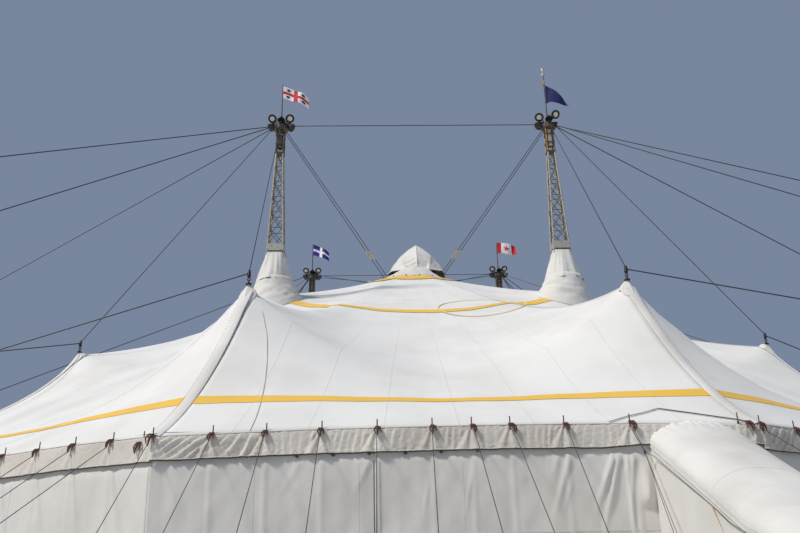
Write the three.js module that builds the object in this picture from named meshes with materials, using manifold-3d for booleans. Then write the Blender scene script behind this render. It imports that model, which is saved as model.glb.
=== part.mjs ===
// Circus big top with four lattice masts, as a 1:2 scale model.
// Millimetres, +Z up, origin on the ground under the middle of the tent.
// The front, with the entrance, faces -Y. Canvas is modelled thicker than the real cloth.

import * as THREE from 'three';
import { mergeVertices } from 'three/addons/utils/BufferGeometryUtils.js';
import Module from 'manifold-3d';

const wasm = await Module();
wasm.setup();

// One metre of the real tent, in millimetres of the 1:2 model
const M = 500;
// Space left between two pieces that touch on the real tent
const GAP = 0.3;
// Edges shorter than this are taken out of a union
const SLIVER = 0.12;

// Plan: a twelve-sided tent, its corners on the ridges at 15, 45, 75 degrees and so on
const SIDES = 12;
const HALF_SECTOR = Math.PI / SIDES;
const EAVE_RADIUS = 25.5 * M;
const EAVE_DISTANCE = EAVE_RADIUS * Math.cos(HALF_SECTOR);
const EAVE_HEIGHT = 5.47 * M;
const CANVAS = 0.03 * M;

// Canvas profile halfway between two ridges, from the eave to the crown
const KNEE_DISTANCE = 13.15 * M;
const KNEE_HEIGHT = 12.33 * M;
const CROWN_DISTANCE = 1.84 * M;
const CROWN_HEIGHT = 18.4 * M;

// Peaks pulled up on the ridges: front and back, diagonal, and at the two ends
const PEAKS = [
  { angle: 15, radius: 21.04 * M, height: 10.5 * M, outerFall: 2 },
  { angle: 45, radius: 18.06 * M, height: 10.87 * M, outerFall: 7 },
  { angle: 75, radius: 18.06 * M, height: 10.1 * M, outerFall: 2 },
];
const PEAK_INNER_FALL = 2.4;
const PEAK_INNER_RADIUS = 9.5 * M;
const RIDGE_SHARPNESS = 1.8;

// Masts
const MAST_X = 6.2 * M;
const MAST_Y = 9.2 * M;
const MAST_WIDTH = 0.76 * M;
const MAST_TOP_WIDTH = 0.36 * M;
const COLLAR_HEIGHT = 16.35 * M;
const LATTICE_TOP = 21.5 * M;
const HEAD_TOP = 22.9 * M;
const HEAD_RING_RADIUS = 0.35 * M;
const HEAD_RING_HEIGHT = 22.64 * M;
const HEAD_RING_DEPTH = 0.2 * M;
const FLAGPOLE_TOP = 25.2 * M;
const LONG_FLAGPOLE_TOP = 26.05 * M;
const FLAGPOLE_WIDTH = 0.07 * M;
const BASE_PLATE = 1.1 * M;
const BASE_THICKNESS = 0.04 * M;
const LEG_WIDTH = 0.07 * M;
const LACE_WIDTH = 0.045 * M;
const LOWER_BAYS = 3;
const UPPER_BAYS = 5;
const MAST_PULL = 1.05 * M;
const MAST_PULL_REACH = 4.2 * M;

// Flags: upper corner at the pole, width, drop of the outer edge, height at the pole, height outside
const FLAG_THICKNESS = 0.012 * M;
const FLAGS = {
  front_left: [25.05 * M, 1.2 * M, 0.65 * M, 0.67 * M, 0.6 * M],
  front_right: [25.07 * M, 1.05 * M, 1.1 * M, 1.05 * M, 0.15 * M],
  back_right: [25.18 * M, 1.25 * M, 0.25 * M, 0.8 * M, 0.7 * M],
  back_left: [25.15 * M, 1.05 * M, 0.6 * M, 0.8 * M, 0.65 * M],
};

// Canvas cones round the masts
const CONE_FOOT_HEIGHT = 13.7 * M;
const CONE_FOOT_RADIUS = 1.09 * M;

// Crown ring and the hood over it
const RING_INNER = 1.42 * M;
const RING_OUTER = CROWN_DISTANCE - GAP;
const RING_BOTTOM = 18.05 * M;
const RING_TOP = 18.62 * M;
const HOOD_SIDES = 8;
const HOOD_PROFILE = [
  [1.62 * M, 0],
  [1.18 * M, 19.71 * M],
  [0.66 * M, 20.38 * M],
  [0.14 * M, 20.85 * M],
];
const HOOD_VENT_HEIGHT = 19.1 * M;

// Eave, wall and perimeter poles
const VALANCE_DROP = 0.53 * M;
const VALANCE_FLARE = 0.03 * M;
const WALL_DISTANCE = 24.5 * M;
const WALL_THICKNESS = 0.02 * M;
const POLE_WIDTH = 0.09 * M;
const POLE_BAYS = 11;
// The front's poles stand closer together towards the entrance
const FRONT_SHARES = [-1, -0.806, -0.632, -0.451, -0.27, -0.089, 0.041, 0.168, 0.347, 0.566, 0.924];
const RAIL_DEPTH = 0.06 * M;
const GUY_WIDTH = 0.03 * M;
const GUY_TOP = [EAVE_DISTANCE + 0.0168 * M, EAVE_HEIGHT + 0.02 * M];
const STAKE_DISTANCE = 31.5 * M;
// The eave rope leaves the eave and climbs over the entrance tunnel
const GABLE = [
  [3.77 * M, 24.656 * M, 5.492 * M],
  [4.72 * M, 23.93 * M, 6.04 * M],
  [5.3 * M, 24.03 * M, 5.95 * M],
  [5.9 * M, 24.4 * M, 5.7 * M],
  [6.1 * M, 24.656 * M, 5.492 * M],
];

// Stays, ties and hangers
const STAY_WIDTH = 0.04 * M;
const TIE_WIDTH = 0.03 * M;
const CROWN_TIE_ANGLES = [66, 80];
const CROWN_TIE_RADIUS = 1.73 * M;
// Ground anchors of each side: the first three hold the mast's stays
const ANCHORS = {
  left: [[33 * M, 39 * M], [30 * M, 30 * M], [36 * M, 13.5 * M], [33 * M, 24 * M]],
  right: [[36 * M, 30 * M], [30 * M, 29 * M], [36 * M, 13.5 * M]],
};
const STAYS = 3;
// Which anchor each peak is pulled to, by its angle
const PEAK_ANCHORS = {
  left: { 15: 3, 45: 0 },
  right: { 15: 0, 45: 2 },
};
// Each back mast has one more stay, to the front half of its side
const CROSS_ANCHOR = [35 * M, -16.3 * M];
const ANCHOR_SIZE = [0.5 * M, 0.5 * M, 0.35 * M];
const HANGER_HEIGHT = 0.55 * M;
const HANGER_PLATE = 0.12 * M;
const HANGER_ROD = 0.035 * M;
const HANGER_BLOCK = 0.08 * M;

// Entrance tunnel on the front, near its right-hand corner
const TUNNEL_X = 5.09 * M;
const TUNNEL_HALF_WIDTH = 0.95 * M;
const TUNNEL_RISE = 0.42 * M;
const TUNNEL_STATIONS = [
  [24.25 * M, 5.32 * M],
  [24.75 * M, 5.08 * M],
  [27.7 * M, 3.6 * M],
  [29.0 * M, 2.92 * M],
  [30.4 * M, 2.45 * M],
];
const TUNNEL_END = 30.4 * M;
const TUNNEL_ARC_STEPS = 8;
const TUNNEL_POST = 0.08 * M;

const COLOURS = {
  canvas: ['#e6e4df', 0.8, 0.0],
  wall: ['#c9c8c4', 0.85, 0.0],
  steel: ['#b9b4a6', 0.5, 0.7],
  rope: ['#3a3a3c', 0.7, 0.2],
  flag: ['#b8323a', 0.8, 0.0],
};

const up = new THREE.Vector3(0, 0, 1);
const tent = new THREE.Group();

function add(name, geometry, colour) {
  const [tint, roughness, metalness] = COLOURS[colour];
  const material = new THREE.MeshStandardMaterial({ color: tint, roughness, metalness });
  const mesh = new THREE.Mesh(geometry, material);
  mesh.name = name;
  tent.add(mesh);
}

// A closed three.js geometry as a manifold solid
function solid(geometry) {
  const bare = geometry.clone();
  bare.deleteAttribute('normal');
  bare.deleteAttribute('uv');
  const merged = mergeVertices(bare, 1e-3);
  return new wasm.Manifold(new wasm.Mesh({
    numProp: 3,
    vertProperties: new Float32Array(merged.attributes.position.array),
    triVerts: new Uint32Array(merged.index.array),
  }));
}

// A manifold solid as a three.js geometry
function geometryOf(shape) {
  const mesh = shape.getMesh();
  const geometry = new THREE.BufferGeometry();
  geometry.setAttribute('position', new THREE.BufferAttribute(mesh.vertProperties, 3));
  geometry.setIndex(new THREE.BufferAttribute(mesh.triVerts, 1));
  return geometry;
}

// The union of some solids, without the slivers that cut faces leave
function unite(shapes) {
  return shapes.reduce((whole, shape) => whole.add(shape)).asOriginal().simplify(SLIVER);
}

function box(x0, x1, y0, y1, z0, z1) {
  const geometry = new THREE.BoxGeometry(x1 - x0, y1 - y0, z1 - z0);
  geometry.translate((x0 + x1) / 2, (y0 + y1) / 2, (z0 + z1) / 2);
  return solid(geometry);
}

// A square bar from one point to another
function bar(from, to, width) {
  const along = to.clone().sub(from);
  const geometry = new THREE.BoxGeometry(width, width, along.length());
  const turn = new THREE.Quaternion().setFromUnitVectors(up, along.normalize());
  geometry.applyQuaternion(turn);
  const middle = from.clone().add(to).multiplyScalar(0.5);
  geometry.translate(middle.x, middle.y, middle.z);
  return solid(geometry);
}

// A three-sided bar for lacing and ropes
function rod(from, to, width) {
  const along = to.clone().sub(from);
  const radius = width * 0.62;
  const turn = new THREE.Quaternion().setFromUnitVectors(up, along.clone().normalize());
  const rings = [0, along.length()].map((z) => (
    ringAt(3, radius, z).map((p) => p.applyQuaternion(turn).add(from))
  ));
  return solid(loft(rings));
}

// A closed body from rings of equal length, its two ends capped by fans or joined into a loop
function loft(rings, isLoop = false) {
  const count = rings[0].length;
  const points = rings.flat();
  const faces = [];
  const spans = isLoop ? rings.length : rings.length - 1;
  for (let j = 0; j < spans; j += 1) {
    const onward = ((j + 1) % rings.length) * count;
    for (let i = 0; i < count; i += 1) {
      const next = (i + 1) % count;
      const a = j * count + i;
      const b = j * count + next;
      const c = onward + i;
      const d = onward + next;
      faces.push(a, b, d, a, d, c);
    }
  }
  const last = (rings.length - 1) * count;
  for (let i = 1; i + 1 < count && !isLoop; i += 1) {
    faces.push(0, i + 1, i);
    faces.push(last, last + i, last + i + 1);
  }
  const geometry = new THREE.BufferGeometry();
  const flat = points.flatMap((p) => [p.x, p.y, p.z]);
  geometry.setAttribute('position', new THREE.Float32BufferAttribute(flat, 3));
  geometry.setIndex(faces);
  return geometry;
}

function ringAt(sides, radius, height, turn = 0) {
  const ring = [];
  for (let i = 0; i < sides; i += 1) {
    const a = turn + (i * 2 * Math.PI) / sides;
    ring.push(new THREE.Vector3(radius * Math.cos(a), radius * Math.sin(a), height));
  }
  return ring;
}

// Sector k's own axes: outward at k * 30 degrees from -Y, and across, to the right seen from outside
function sectorPoint(k, distance, across, z) {
  const a = k * 2 * HALF_SECTOR;
  const x = distance * Math.sin(a) + across * Math.cos(a);
  const y = -distance * Math.cos(a) + across * Math.sin(a);
  return new THREE.Vector3(x, y, z);
}

// The peak on the ridge nearest to a plan angle measured from -Y
function peakAt(ridgeAngle) {
  const folded = Math.abs(ridgeAngle) % 180;
  const quarter = folded > 90 ? 180 - folded : folded;
  return PEAKS.find((peak) => Math.abs(peak.angle - quarter) < 1);
}

function midHeight(distance) {
  if (distance > KNEE_DISTANCE) {
    const slope = (KNEE_HEIGHT - EAVE_HEIGHT) / (EAVE_DISTANCE - KNEE_DISTANCE);
    return EAVE_HEIGHT + (EAVE_DISTANCE - distance) * slope;
  }
  const slope = (CROWN_HEIGHT - KNEE_HEIGHT) / (KNEE_DISTANCE - CROWN_DISTANCE);
  return KNEE_HEIGHT + (KNEE_DISTANCE - distance) * slope;
}

// How far a ridge lifts the canvas above the mid profile, at a radius on the ridge
function ridgeLift(peak, radius) {
  const lift = peak.height - midHeight(peak.radius * Math.cos(HALF_SECTOR));
  if (radius >= peak.radius) {
    const out = Math.max(0, (EAVE_RADIUS - radius) / (EAVE_RADIUS - peak.radius));
    return lift * out ** peak.outerFall;
  }
  const inward = Math.max(0, (radius - PEAK_INNER_RADIUS) / (peak.radius - PEAK_INNER_RADIUS));
  return lift * inward ** PEAK_INNER_FALL;
}

// How far the nearest mast lifts the canvas, along the line from the crown and round its foot
function mastLift(x, y) {
  const mx = Math.abs(x);
  const my = Math.abs(y);
  const length = Math.hypot(MAST_X, MAST_Y);
  const t = Math.min(1, Math.max(0, (mx * MAST_X + my * MAST_Y) / length ** 2));
  const away = Math.hypot(mx - t * MAST_X, my - t * MAST_Y);
  const reach = MAST_PULL_REACH * (0.25 + 0.75 * t);
  return MAST_PULL * t ** 2 * Math.max(0, 1 - away / reach) ** 2;
}

function roofHeight(k, distance, across) {
  const radius = Math.hypot(distance, across);
  const turned = THREE.MathUtils.radToDeg(Math.atan2(across, distance));
  const side = turned >= 0 ? 1 : -1;
  const peak = peakAt(k * 30 + side * 15);
  const nearness = Math.min(1, Math.abs(turned) / 15);
  const p = sectorPoint(k, distance, across, 0);
  const lift = ridgeLift(peak, radius) * nearness ** RIDGE_SHARPNESS;
  return midHeight(distance) + lift + mastLift(p.x, p.y);
}

// Rows of a roof panel, as distances from the middle, the lower edge of the valance first
const ROWS = [24.63, 23.7, 22.6, 21.5, 20.32, 19.0, 17.44, 15.3, 13.15, 11.0, 8.4, 5.2];
const COLUMNS = [-1, -0.8, -0.4, 0, 0.4, 0.8, 1];

function acrossAt(distance, share) {
  return share * (distance * Math.tan(HALF_SECTOR) - GAP / 2);
}

// The upper and lower grid points of a panel, in its sector's own axes
function panelGrid(k) {
  const distances = ROWS.map((d, j) => (j === 0 ? EAVE_DISTANCE : d * M));
  distances.push(CROWN_DISTANCE);
  return COLUMNS.map((share) => {
    const top = [{
      d: EAVE_DISTANCE + VALANCE_FLARE,
      a: acrossAt(EAVE_DISTANCE + VALANCE_FLARE, share),
      z: EAVE_HEIGHT - VALANCE_DROP,
    }];
    for (const d of distances) {
      const a = acrossAt(d, share);
      top.push({ d, a, z: roofHeight(k, d, a) });
    }
    const under = top.map((point, j) => {
      const before = top[Math.max(0, j - 1)];
      const after = top[Math.min(top.length - 1, j + 1)];
      const run = new THREE.Vector2(after.d - before.d, after.z - before.z).normalize();
      let d = point.d - run.y * CANVAS;
      const z = point.z + run.x * CANVAS;
      if (j === top.length - 1) {
        d = point.d;
      }
      return { d, a: acrossAt(d, share), z };
    });
    return { top, under };
  });
}

function panelGeometry(k, grid) {
  const rows = grid[0].top.length;
  const columns = grid.length;
  const points = [];
  for (const face of ['top', 'under']) {
    for (const column of grid) {
      for (const p of column[face]) {
        points.push(sectorPoint(k, p.d, p.a, p.z));
      }
    }
  }
  const faces = [];
  const layer = rows * columns;
  const quad = (a, b, c, d) => faces.push(a, b, c, a, c, d);
  for (let i = 0; i + 1 < columns; i += 1) {
    for (let j = 0; j + 1 < rows; j += 1) {
      const a = i * rows + j;
      const b = a + rows;
      quad(a, b, b + 1, a + 1);
      quad(layer + a, layer + a + 1, layer + b + 1, layer + b);
    }
    const foot = i * rows;
    const head = foot + rows - 1;
    quad(foot, layer + foot, layer + foot + rows, foot + rows);
    quad(head, head + rows, layer + head + rows, layer + head);
  }
  const lastColumn = (columns - 1) * rows;
  for (let j = 0; j + 1 < rows; j += 1) {
    quad(j, j + 1, layer + j + 1, layer + j);
    const b = lastColumn + j;
    quad(b, layer + b, layer + b + 1, b + 1);
  }
  const geometry = new THREE.BufferGeometry();
  const flat = points.flatMap((p) => [p.x, p.y, p.z]);
  geometry.setAttribute('position', new THREE.Float32BufferAttribute(flat, 3));
  geometry.setIndex(faces);
  return geometry;
}

// Height of a panel's flat facets at a place in its sector, on its upper or lower face
function facetHeight(grid, face, distance, across) {
  for (let i = 0; i + 1 < grid.length; i += 1) {
    const left = grid[i][face];
    const right = grid[i + 1][face];
    for (let j = 1; j + 1 < left.length; j += 1) {
      const corners = [left[j], right[j], right[j + 1], left[j + 1]];
      for (const [p, q, r] of [[0, 1, 2], [0, 2, 3]]) {
        const [u, v, w] = [corners[p], corners[q], corners[r]];
        const whole = (v.d - u.d) * (w.a - u.a) - (w.d - u.d) * (v.a - u.a);
        const s = ((distance - u.d) * (w.a - u.a) - (w.d - u.d) * (across - u.a)) / whole;
        const t = ((v.d - u.d) * (across - u.a) - (distance - u.d) * (v.a - u.a)) / whole;
        if (s >= -1e-9 && t >= -1e-9 && s + t <= 1 + 1e-9) {
          return u.z + s * (v.z - u.z) + t * (w.z - u.z);
        }
      }
    }
  }
  return EAVE_HEIGHT;
}

const corners = [[-1, -1], [1, -1], [1, 1], [-1, 1]];
const mastNames = ['front_left', 'front_right', 'back_right', 'back_left'];
const masts = corners.map(([sx, sy], i) => ({ name: mastNames[i], x: sx * MAST_X, y: sy * MAST_Y, sx, sy }));

// A sleeve of eight corners, square at the mast and round at its foot, grown by some margin
function coneRing(z, margin) {
  const t = (COLLAR_HEIGHT - z) / (COLLAR_HEIGHT - CONE_FOOT_HEIGHT);
  const ring = [];
  for (let i = 0; i < 8; i += 1) {
    const a = (i * Math.PI) / 4;
    const half = MAST_WIDTH / 2;
    const square = i % 2 === 0 ? half : half * Math.SQRT2;
    const radius = square + t * (CONE_FOOT_RADIUS - square) + margin;
    ring.push(new THREE.Vector3(radius * Math.cos(a), radius * Math.sin(a), z));
  }
  return ring;
}

function coneSolid(margin) {
  return solid(loft([coneRing(CONE_FOOT_HEIGHT, margin), coneRing(COLLAR_HEIGHT, margin)]));
}

// The inside of a mast cone, cut past both of its ends
const coneInside = solid(loft([
  coneRing(CONE_FOOT_HEIGHT - 0.1 * M, 8 * GAP),
  coneRing(COLLAR_HEIGHT + 0.1 * M, 8 * GAP),
]));

function addMastCones() {
  for (const mast of masts) {
    const cone = coneSolid(CANVAS).subtract(coneInside).translate([mast.x, mast.y, 0]);
    add(`mast_cone_${mast.name}`, geometryOf(cone), 'canvas');
  }
}

// Half width of a mast's leg lines at a height
function legLine(z) {
  const t = Math.max(0, (z - COLLAR_HEIGHT) / (LATTICE_TOP - COLLAR_HEIGHT));
  return (MAST_WIDTH + t * (MAST_TOP_WIDTH - MAST_WIDTH) - LEG_WIDTH) / 2;
}

function latticeCorner(i, z) {
  const [sx, sy] = corners[i % 4];
  const half = legLine(z);
  return new THREE.Vector3(sx * half, sy * half, z);
}

function mastShape(poleTop) {
  const levels = [];
  for (let j = 0; j <= LOWER_BAYS; j += 1) {
    levels.push(BASE_THICKNESS + (j * (COLLAR_HEIGHT - BASE_THICKNESS)) / LOWER_BAYS);
  }
  for (let j = 1; j <= UPPER_BAYS; j += 1) {
    levels.push(COLLAR_HEIGHT + (j * (LATTICE_TOP - COLLAR_HEIGHT)) / UPPER_BAYS);
  }
  const pieces = [];
  for (let i = 0; i < 4; i += 1) {
    pieces.push(bar(latticeCorner(i, 0), latticeCorner(i, COLLAR_HEIGHT), LEG_WIDTH));
    pieces.push(bar(latticeCorner(i, COLLAR_HEIGHT), latticeCorner(i, LATTICE_TOP), LEG_WIDTH));
  }
  for (let j = 1; j < levels.length; j += 1) {
    for (let i = 0; i < 4; i += 1) {
      pieces.push(rod(latticeCorner(i, levels[j]), latticeCorner(i + 1, levels[j]), LACE_WIDTH));
      const start = (i + j) % 2;
      const low = latticeCorner(i + start, levels[j - 1]);
      const high = latticeCorner(i + 1 - start, levels[j]);
      pieces.push(rod(low, high, LACE_WIDTH));
    }
  }
  const foot = BASE_PLATE / 2;
  pieces.push(box(-foot, foot, -foot, foot, 0, BASE_THICKNESS));
  const head = MAST_TOP_WIDTH / 2;
  pieces.push(box(-head, head, -head, head, LATTICE_TOP - LEG_WIDTH, HEAD_TOP));
  const pole = FLAGPOLE_WIDTH / 2;
  pieces.push(box(-pole, pole, -pole, pole, HEAD_TOP - 1, poleTop));
  return unite(pieces);
}

// The ring at a mast's head that the cables are shackled to
function headRing(margin) {
  const low = HEAD_RING_HEIGHT - margin;
  const high = HEAD_RING_HEIGHT + HEAD_RING_DEPTH + margin;
  const radius = HEAD_RING_RADIUS + margin;
  return solid(loft([ringAt(12, radius, low), ringAt(12, radius, high)]));
}

function addMasts() {
  const plain = mastShape(FLAGPOLE_TOP);
  const long = mastShape(LONG_FLAGPOLE_TOP);
  for (const mast of masts) {
    const shape = mast.name === 'front_right' ? long : plain;
    add(`mast_${mast.name}`, geometryOf(shape.translate([mast.x, mast.y, 0])), 'steel');
  }
}

// A flag as a thin plate beside its pole
function addFlags() {
  for (const mast of masts) {
    const [top, width, drop, atPole, outside] = FLAGS[mast.name];
    const near = FLAGPOLE_WIDTH / 2 + GAP;
    const outline = [
      [near, top - atPole],
      [near + width, top - drop - outside],
      [near + width, top - drop],
      [near, top],
    ];
    const rings = [FLAG_THICKNESS / 2, -FLAG_THICKNESS / 2].map((y) => (
      outline.map(([x, z]) => new THREE.Vector3(mast.x + x, mast.y + y, z))
    ));
    add(`flag_${mast.name}`, loft(rings), 'flag');
  }
}

// Entrance tunnel: a low vault on two walls, running out from the front
function vaultRing(distance, spring, margin) {
  const ring = [];
  for (let i = 0; i <= TUNNEL_ARC_STEPS; i += 1) {
    const a = (i * Math.PI) / TUNNEL_ARC_STEPS;
    const x = TUNNEL_X - (TUNNEL_HALF_WIDTH + margin) * Math.cos(a);
    const z = spring + (TUNNEL_RISE + margin) * Math.sin(a);
    ring.push(new THREE.Vector3(x, -distance, z));
  }
  return ring;
}

// The space under the vault down to the ground, used to cut the wall and the valance
function tunnelEnvelope(margin, floor) {
  const rings = TUNNEL_STATIONS.map(([distance, spring], j) => {
    const ring = vaultRing(j === 0 ? distance - GAP : distance, spring, margin);
    const last = ring[ring.length - 1];
    ring.push(new THREE.Vector3(last.x, last.y, floor));
    ring.push(new THREE.Vector3(ring[0].x, ring[0].y, floor));
    return ring.reverse();
  });
  return solid(loft(rings));
}

function tunnelVault() {
  const rings = TUNNEL_STATIONS.map(([distance, spring]) => {
    const outer = vaultRing(distance, spring, CANVAS);
    const inner = vaultRing(distance, spring, 0).reverse();
    return outer.concat(inner).reverse();
  });
  const count = rings[0].length;
  const half = count / 2;
  const points = rings.flat();
  const faces = [];
  for (let j = 0; j + 1 < rings.length; j += 1) {
    for (let i = 0; i < count; i += 1) {
      const next = (i + 1) % count;
      const a = j * count + i;
      const b = j * count + next;
      faces.push(a, b, b + count, a, b + count, a + count);
    }
  }
  const last = (rings.length - 1) * count;
  for (let i = 0; i + 1 < half; i += 1) {
    const mirror = count - 1 - i;
    faces.push(i, mirror, mirror - 1, i, mirror - 1, i + 1);
    faces.push(last + i, last + mirror - 1, last + mirror, last + i, last + i + 1, last + mirror - 1);
  }
  const geometry = new THREE.BufferGeometry();
  const flat = points.flatMap((p) => [p.x, p.y, p.z]);
  geometry.setAttribute('position', new THREE.Float32BufferAttribute(flat, 3));
  geometry.setIndex(faces);
  return geometry;
}

// A tunnel side wall below the vault's edge, on the left (-1) or the right (1)
function tunnelSide(side) {
  const start = WALL_DISTANCE + WALL_THICKNESS;
  const outline = [];
  for (const [distance, spring] of TUNNEL_STATIONS) {
    if (distance > start) {
      outline.push([distance, spring - 3 * GAP]);
    }
  }
  const [d0, s0] = TUNNEL_STATIONS[0];
  const [d1, s1] = TUNNEL_STATIONS[1];
  const first = s0 + ((start - d0) / (d1 - d0)) * (s1 - s0) - 3 * GAP;
  const profile = [[start, 0], [start, first], ...outline, [TUNNEL_END, 0]];
  const outerX = TUNNEL_X + side * (TUNNEL_HALF_WIDTH + CANVAS);
  const innerX = outerX - side * WALL_THICKNESS;
  const rings = [outerX, innerX].map((x) => profile.map(([d, z]) => new THREE.Vector3(x, -d, z)));
  if (side < 0) {
    rings.reverse();
  }
  return loft(rings.map((ring) => [...ring].reverse()));
}

// Two hoops of posts and a crossbar, joined by a rail along each side
function tunnelFrame() {
  const pieces = [];
  const inner = TUNNEL_HALF_WIDTH + CANVAS - WALL_THICKNESS - TUNNEL_POST / 2 - GAP;
  const hoops = [TUNNEL_STATIONS[2], TUNNEL_STATIONS[4]];
  for (const side of [-1, 1]) {
    const ends = hoops.map(([distance, spring]) => new THREE.Vector3(
      TUNNEL_X + side * inner,
      -(distance - TUNNEL_POST / 2),
      spring - 3 * TUNNEL_POST,
    ));
    pieces.push(bar(ends[0], ends[1], TUNNEL_POST * 0.6));
  }
  for (const [distance, spring] of hoops) {
    const y = -(distance - TUNNEL_POST / 2);
    for (const side of [-1, 1]) {
      const foot = new THREE.Vector3(TUNNEL_X + side * inner, y, 0);
      const head = new THREE.Vector3(TUNNEL_X + side * inner, y, spring - TUNNEL_POST);
      pieces.push(bar(foot, head, TUNNEL_POST));
    }
    const left = new THREE.Vector3(TUNNEL_X - inner, y, spring - 1.6 * TUNNEL_POST);
    const right = new THREE.Vector3(TUNNEL_X + inner, y, spring - 1.6 * TUNNEL_POST);
    pieces.push(bar(left, right, TUNNEL_POST));
  }
  return unite(pieces);
}

function addTunnel() {
  add('tunnel_roof', tunnelVault(), 'canvas');
  add('tunnel_wall_left', tunnelSide(-1), 'wall');
  add('tunnel_wall_right', tunnelSide(1), 'wall');
  add('tunnel_frame', geometryOf(tunnelFrame()), 'steel');
}

const grids = [];
for (let k = 0; k < SIDES; k += 1) {
  grids.push(panelGrid(k));
}

function addRoof() {
  const holes = unite(masts.map((mast) => coneSolid(CANVAS + GAP).translate([mast.x, mast.y, 0])));
  const doorway = tunnelEnvelope(CANVAS + GAP, M);
  for (let k = 0; k < SIDES; k += 1) {
    let panel = solid(panelGeometry(k, grids[k])).subtract(holes);
    if (k === 0) {
      panel = panel.subtract(doorway);
    }
    add(`roof_panel_${String(k + 1).padStart(2, '0')}`, geometryOf(panel), 'canvas');
  }
}

// Height just under the roof canvas at the wall line, halfway along a side
const wallTop = facetHeight(grids[0], 'under', WALL_DISTANCE, 0) - GAP;

function wallPiece(k, from, to) {
  const inner = WALL_DISTANCE - WALL_THICKNESS;
  const stretch = inner / WALL_DISTANCE;
  const clip = WALL_DISTANCE * Math.tan(HALF_SECTOR) - GAP / 2;
  const lowAcross = Math.max(from, -clip);
  const highAcross = Math.min(to, clip);
  const lowInner = from < -clip ? lowAcross * stretch : lowAcross;
  const highInner = to > clip ? highAcross * stretch : highAcross;
  const rings = [0, wallTop].map((z) => [
    sectorPoint(k, WALL_DISTANCE, lowAcross, z),
    sectorPoint(k, WALL_DISTANCE, highAcross, z),
    sectorPoint(k, inner, highInner, z),
    sectorPoint(k, inner, lowInner, z),
  ]);
  return loft(rings);
}

function addWalls() {
  const far = EAVE_RADIUS;
  const doorLeft = TUNNEL_X - TUNNEL_HALF_WIDTH - CANVAS;
  const doorRight = TUNNEL_X + TUNNEL_HALF_WIDTH + CANVAS;
  add('wall_01_left_of_entrance', wallPiece(0, -far, doorLeft), 'wall');
  add('wall_01_right_of_entrance', wallPiece(0, doorRight, far), 'wall');
  for (let k = 1; k < SIDES; k += 1) {
    add(`wall_${String(k + 1).padStart(2, '0')}`, wallPiece(k, -far, far), 'wall');
  }
}

// Places of the perimeter poles along a side, as shares of its half length, the corner pole first
function poleShares(k) {
  if (k !== 0) {
    return Array.from({ length: POLE_BAYS }, (_, i) => -1 + (2 * i) / POLE_BAYS);
  }
  return FRONT_SHARES.filter((share) => {
    const x = share * EAVE_DISTANCE * Math.tan(HALF_SECTOR);
    return Math.abs(x - TUNNEL_X) > TUNNEL_HALF_WIDTH + POLE_WIDTH + CANVAS;
  });
}

// The outline of a rail from left to right with teeth below it, seen from outside
function combShape(left, right, teeth, drop) {
  const half = POLE_WIDTH / 2;
  const shape = new THREE.Shape();
  shape.moveTo(left, 0);
  let at = left;
  for (const tooth of teeth) {
    const from = Math.max(left, tooth - half);
    const to = Math.min(right, from + POLE_WIDTH);
    if (from > at) {
      shape.lineTo(at, -RAIL_DEPTH);
      shape.lineTo(from, -RAIL_DEPTH);
    }
    shape.lineTo(from, -drop);
    shape.lineTo(to, -drop);
    at = to;
  }
  shape.lineTo(at, -RAIL_DEPTH);
  if (right > at + 1e-6) {
    shape.lineTo(right, -RAIL_DEPTH);
  }
  shape.lineTo(right, 0);
  shape.closePath();
  return shape;
}

// An outline extruded to a pole's width and stood up under the roof's edge in sector k
function standingPlate(k, shape, distance) {
  const geometry = new THREE.ExtrudeGeometry(shape, { depth: POLE_WIDTH, bevelEnabled: false });
  const across = sectorPoint(k, 0, 1, 0);
  const outward = new THREE.Vector3().crossVectors(across, up);
  const place = new THREE.Matrix4().makeBasis(across, up, outward);
  place.setPosition(sectorPoint(k, distance, 0, wallTop));
  geometry.applyMatrix4(place);
  return solid(geometry);
}

// The stretches of a side that the entrance tunnel leaves free
function freeStretches(k, halfLength, margin) {
  if (k !== 0) {
    return [[-halfLength, halfLength]];
  }
  const doorLeft = TUNNEL_X - TUNNEL_HALF_WIDTH - CANVAS - margin;
  const doorRight = TUNNEL_X + TUNNEL_HALF_WIDTH + CANVAS + margin;
  return [[-halfLength, doorLeft], [doorRight, halfLength]];
}

function addPoles() {
  const distance = WALL_DISTANCE - WALL_THICKNESS - GAP - POLE_WIDTH;
  const half = distance * Math.tan(HALF_SECTOR) - GAP / 2;
  for (let k = 0; k < SIDES; k += 1) {
    const teeth = poleShares(k).map((share) => share * half);
    freeStretches(k, half, POLE_WIDTH).forEach(([left, right], part) => {
      if (right - left < POLE_BAYS * POLE_WIDTH) {
        return;
      }
      const own = teeth.filter((t) => t > left - POLE_WIDTH && t < right);
      const shape = combShape(left, right, own, wallTop);
      const frame = standingPlate(k, shape, distance);
      const suffix = part === 0 ? '' : '_right';
      add(`perimeter_poles_${String(k + 1).padStart(2, '0')}${suffix}`, geometryOf(frame), 'steel');
    });
  }
}

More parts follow.
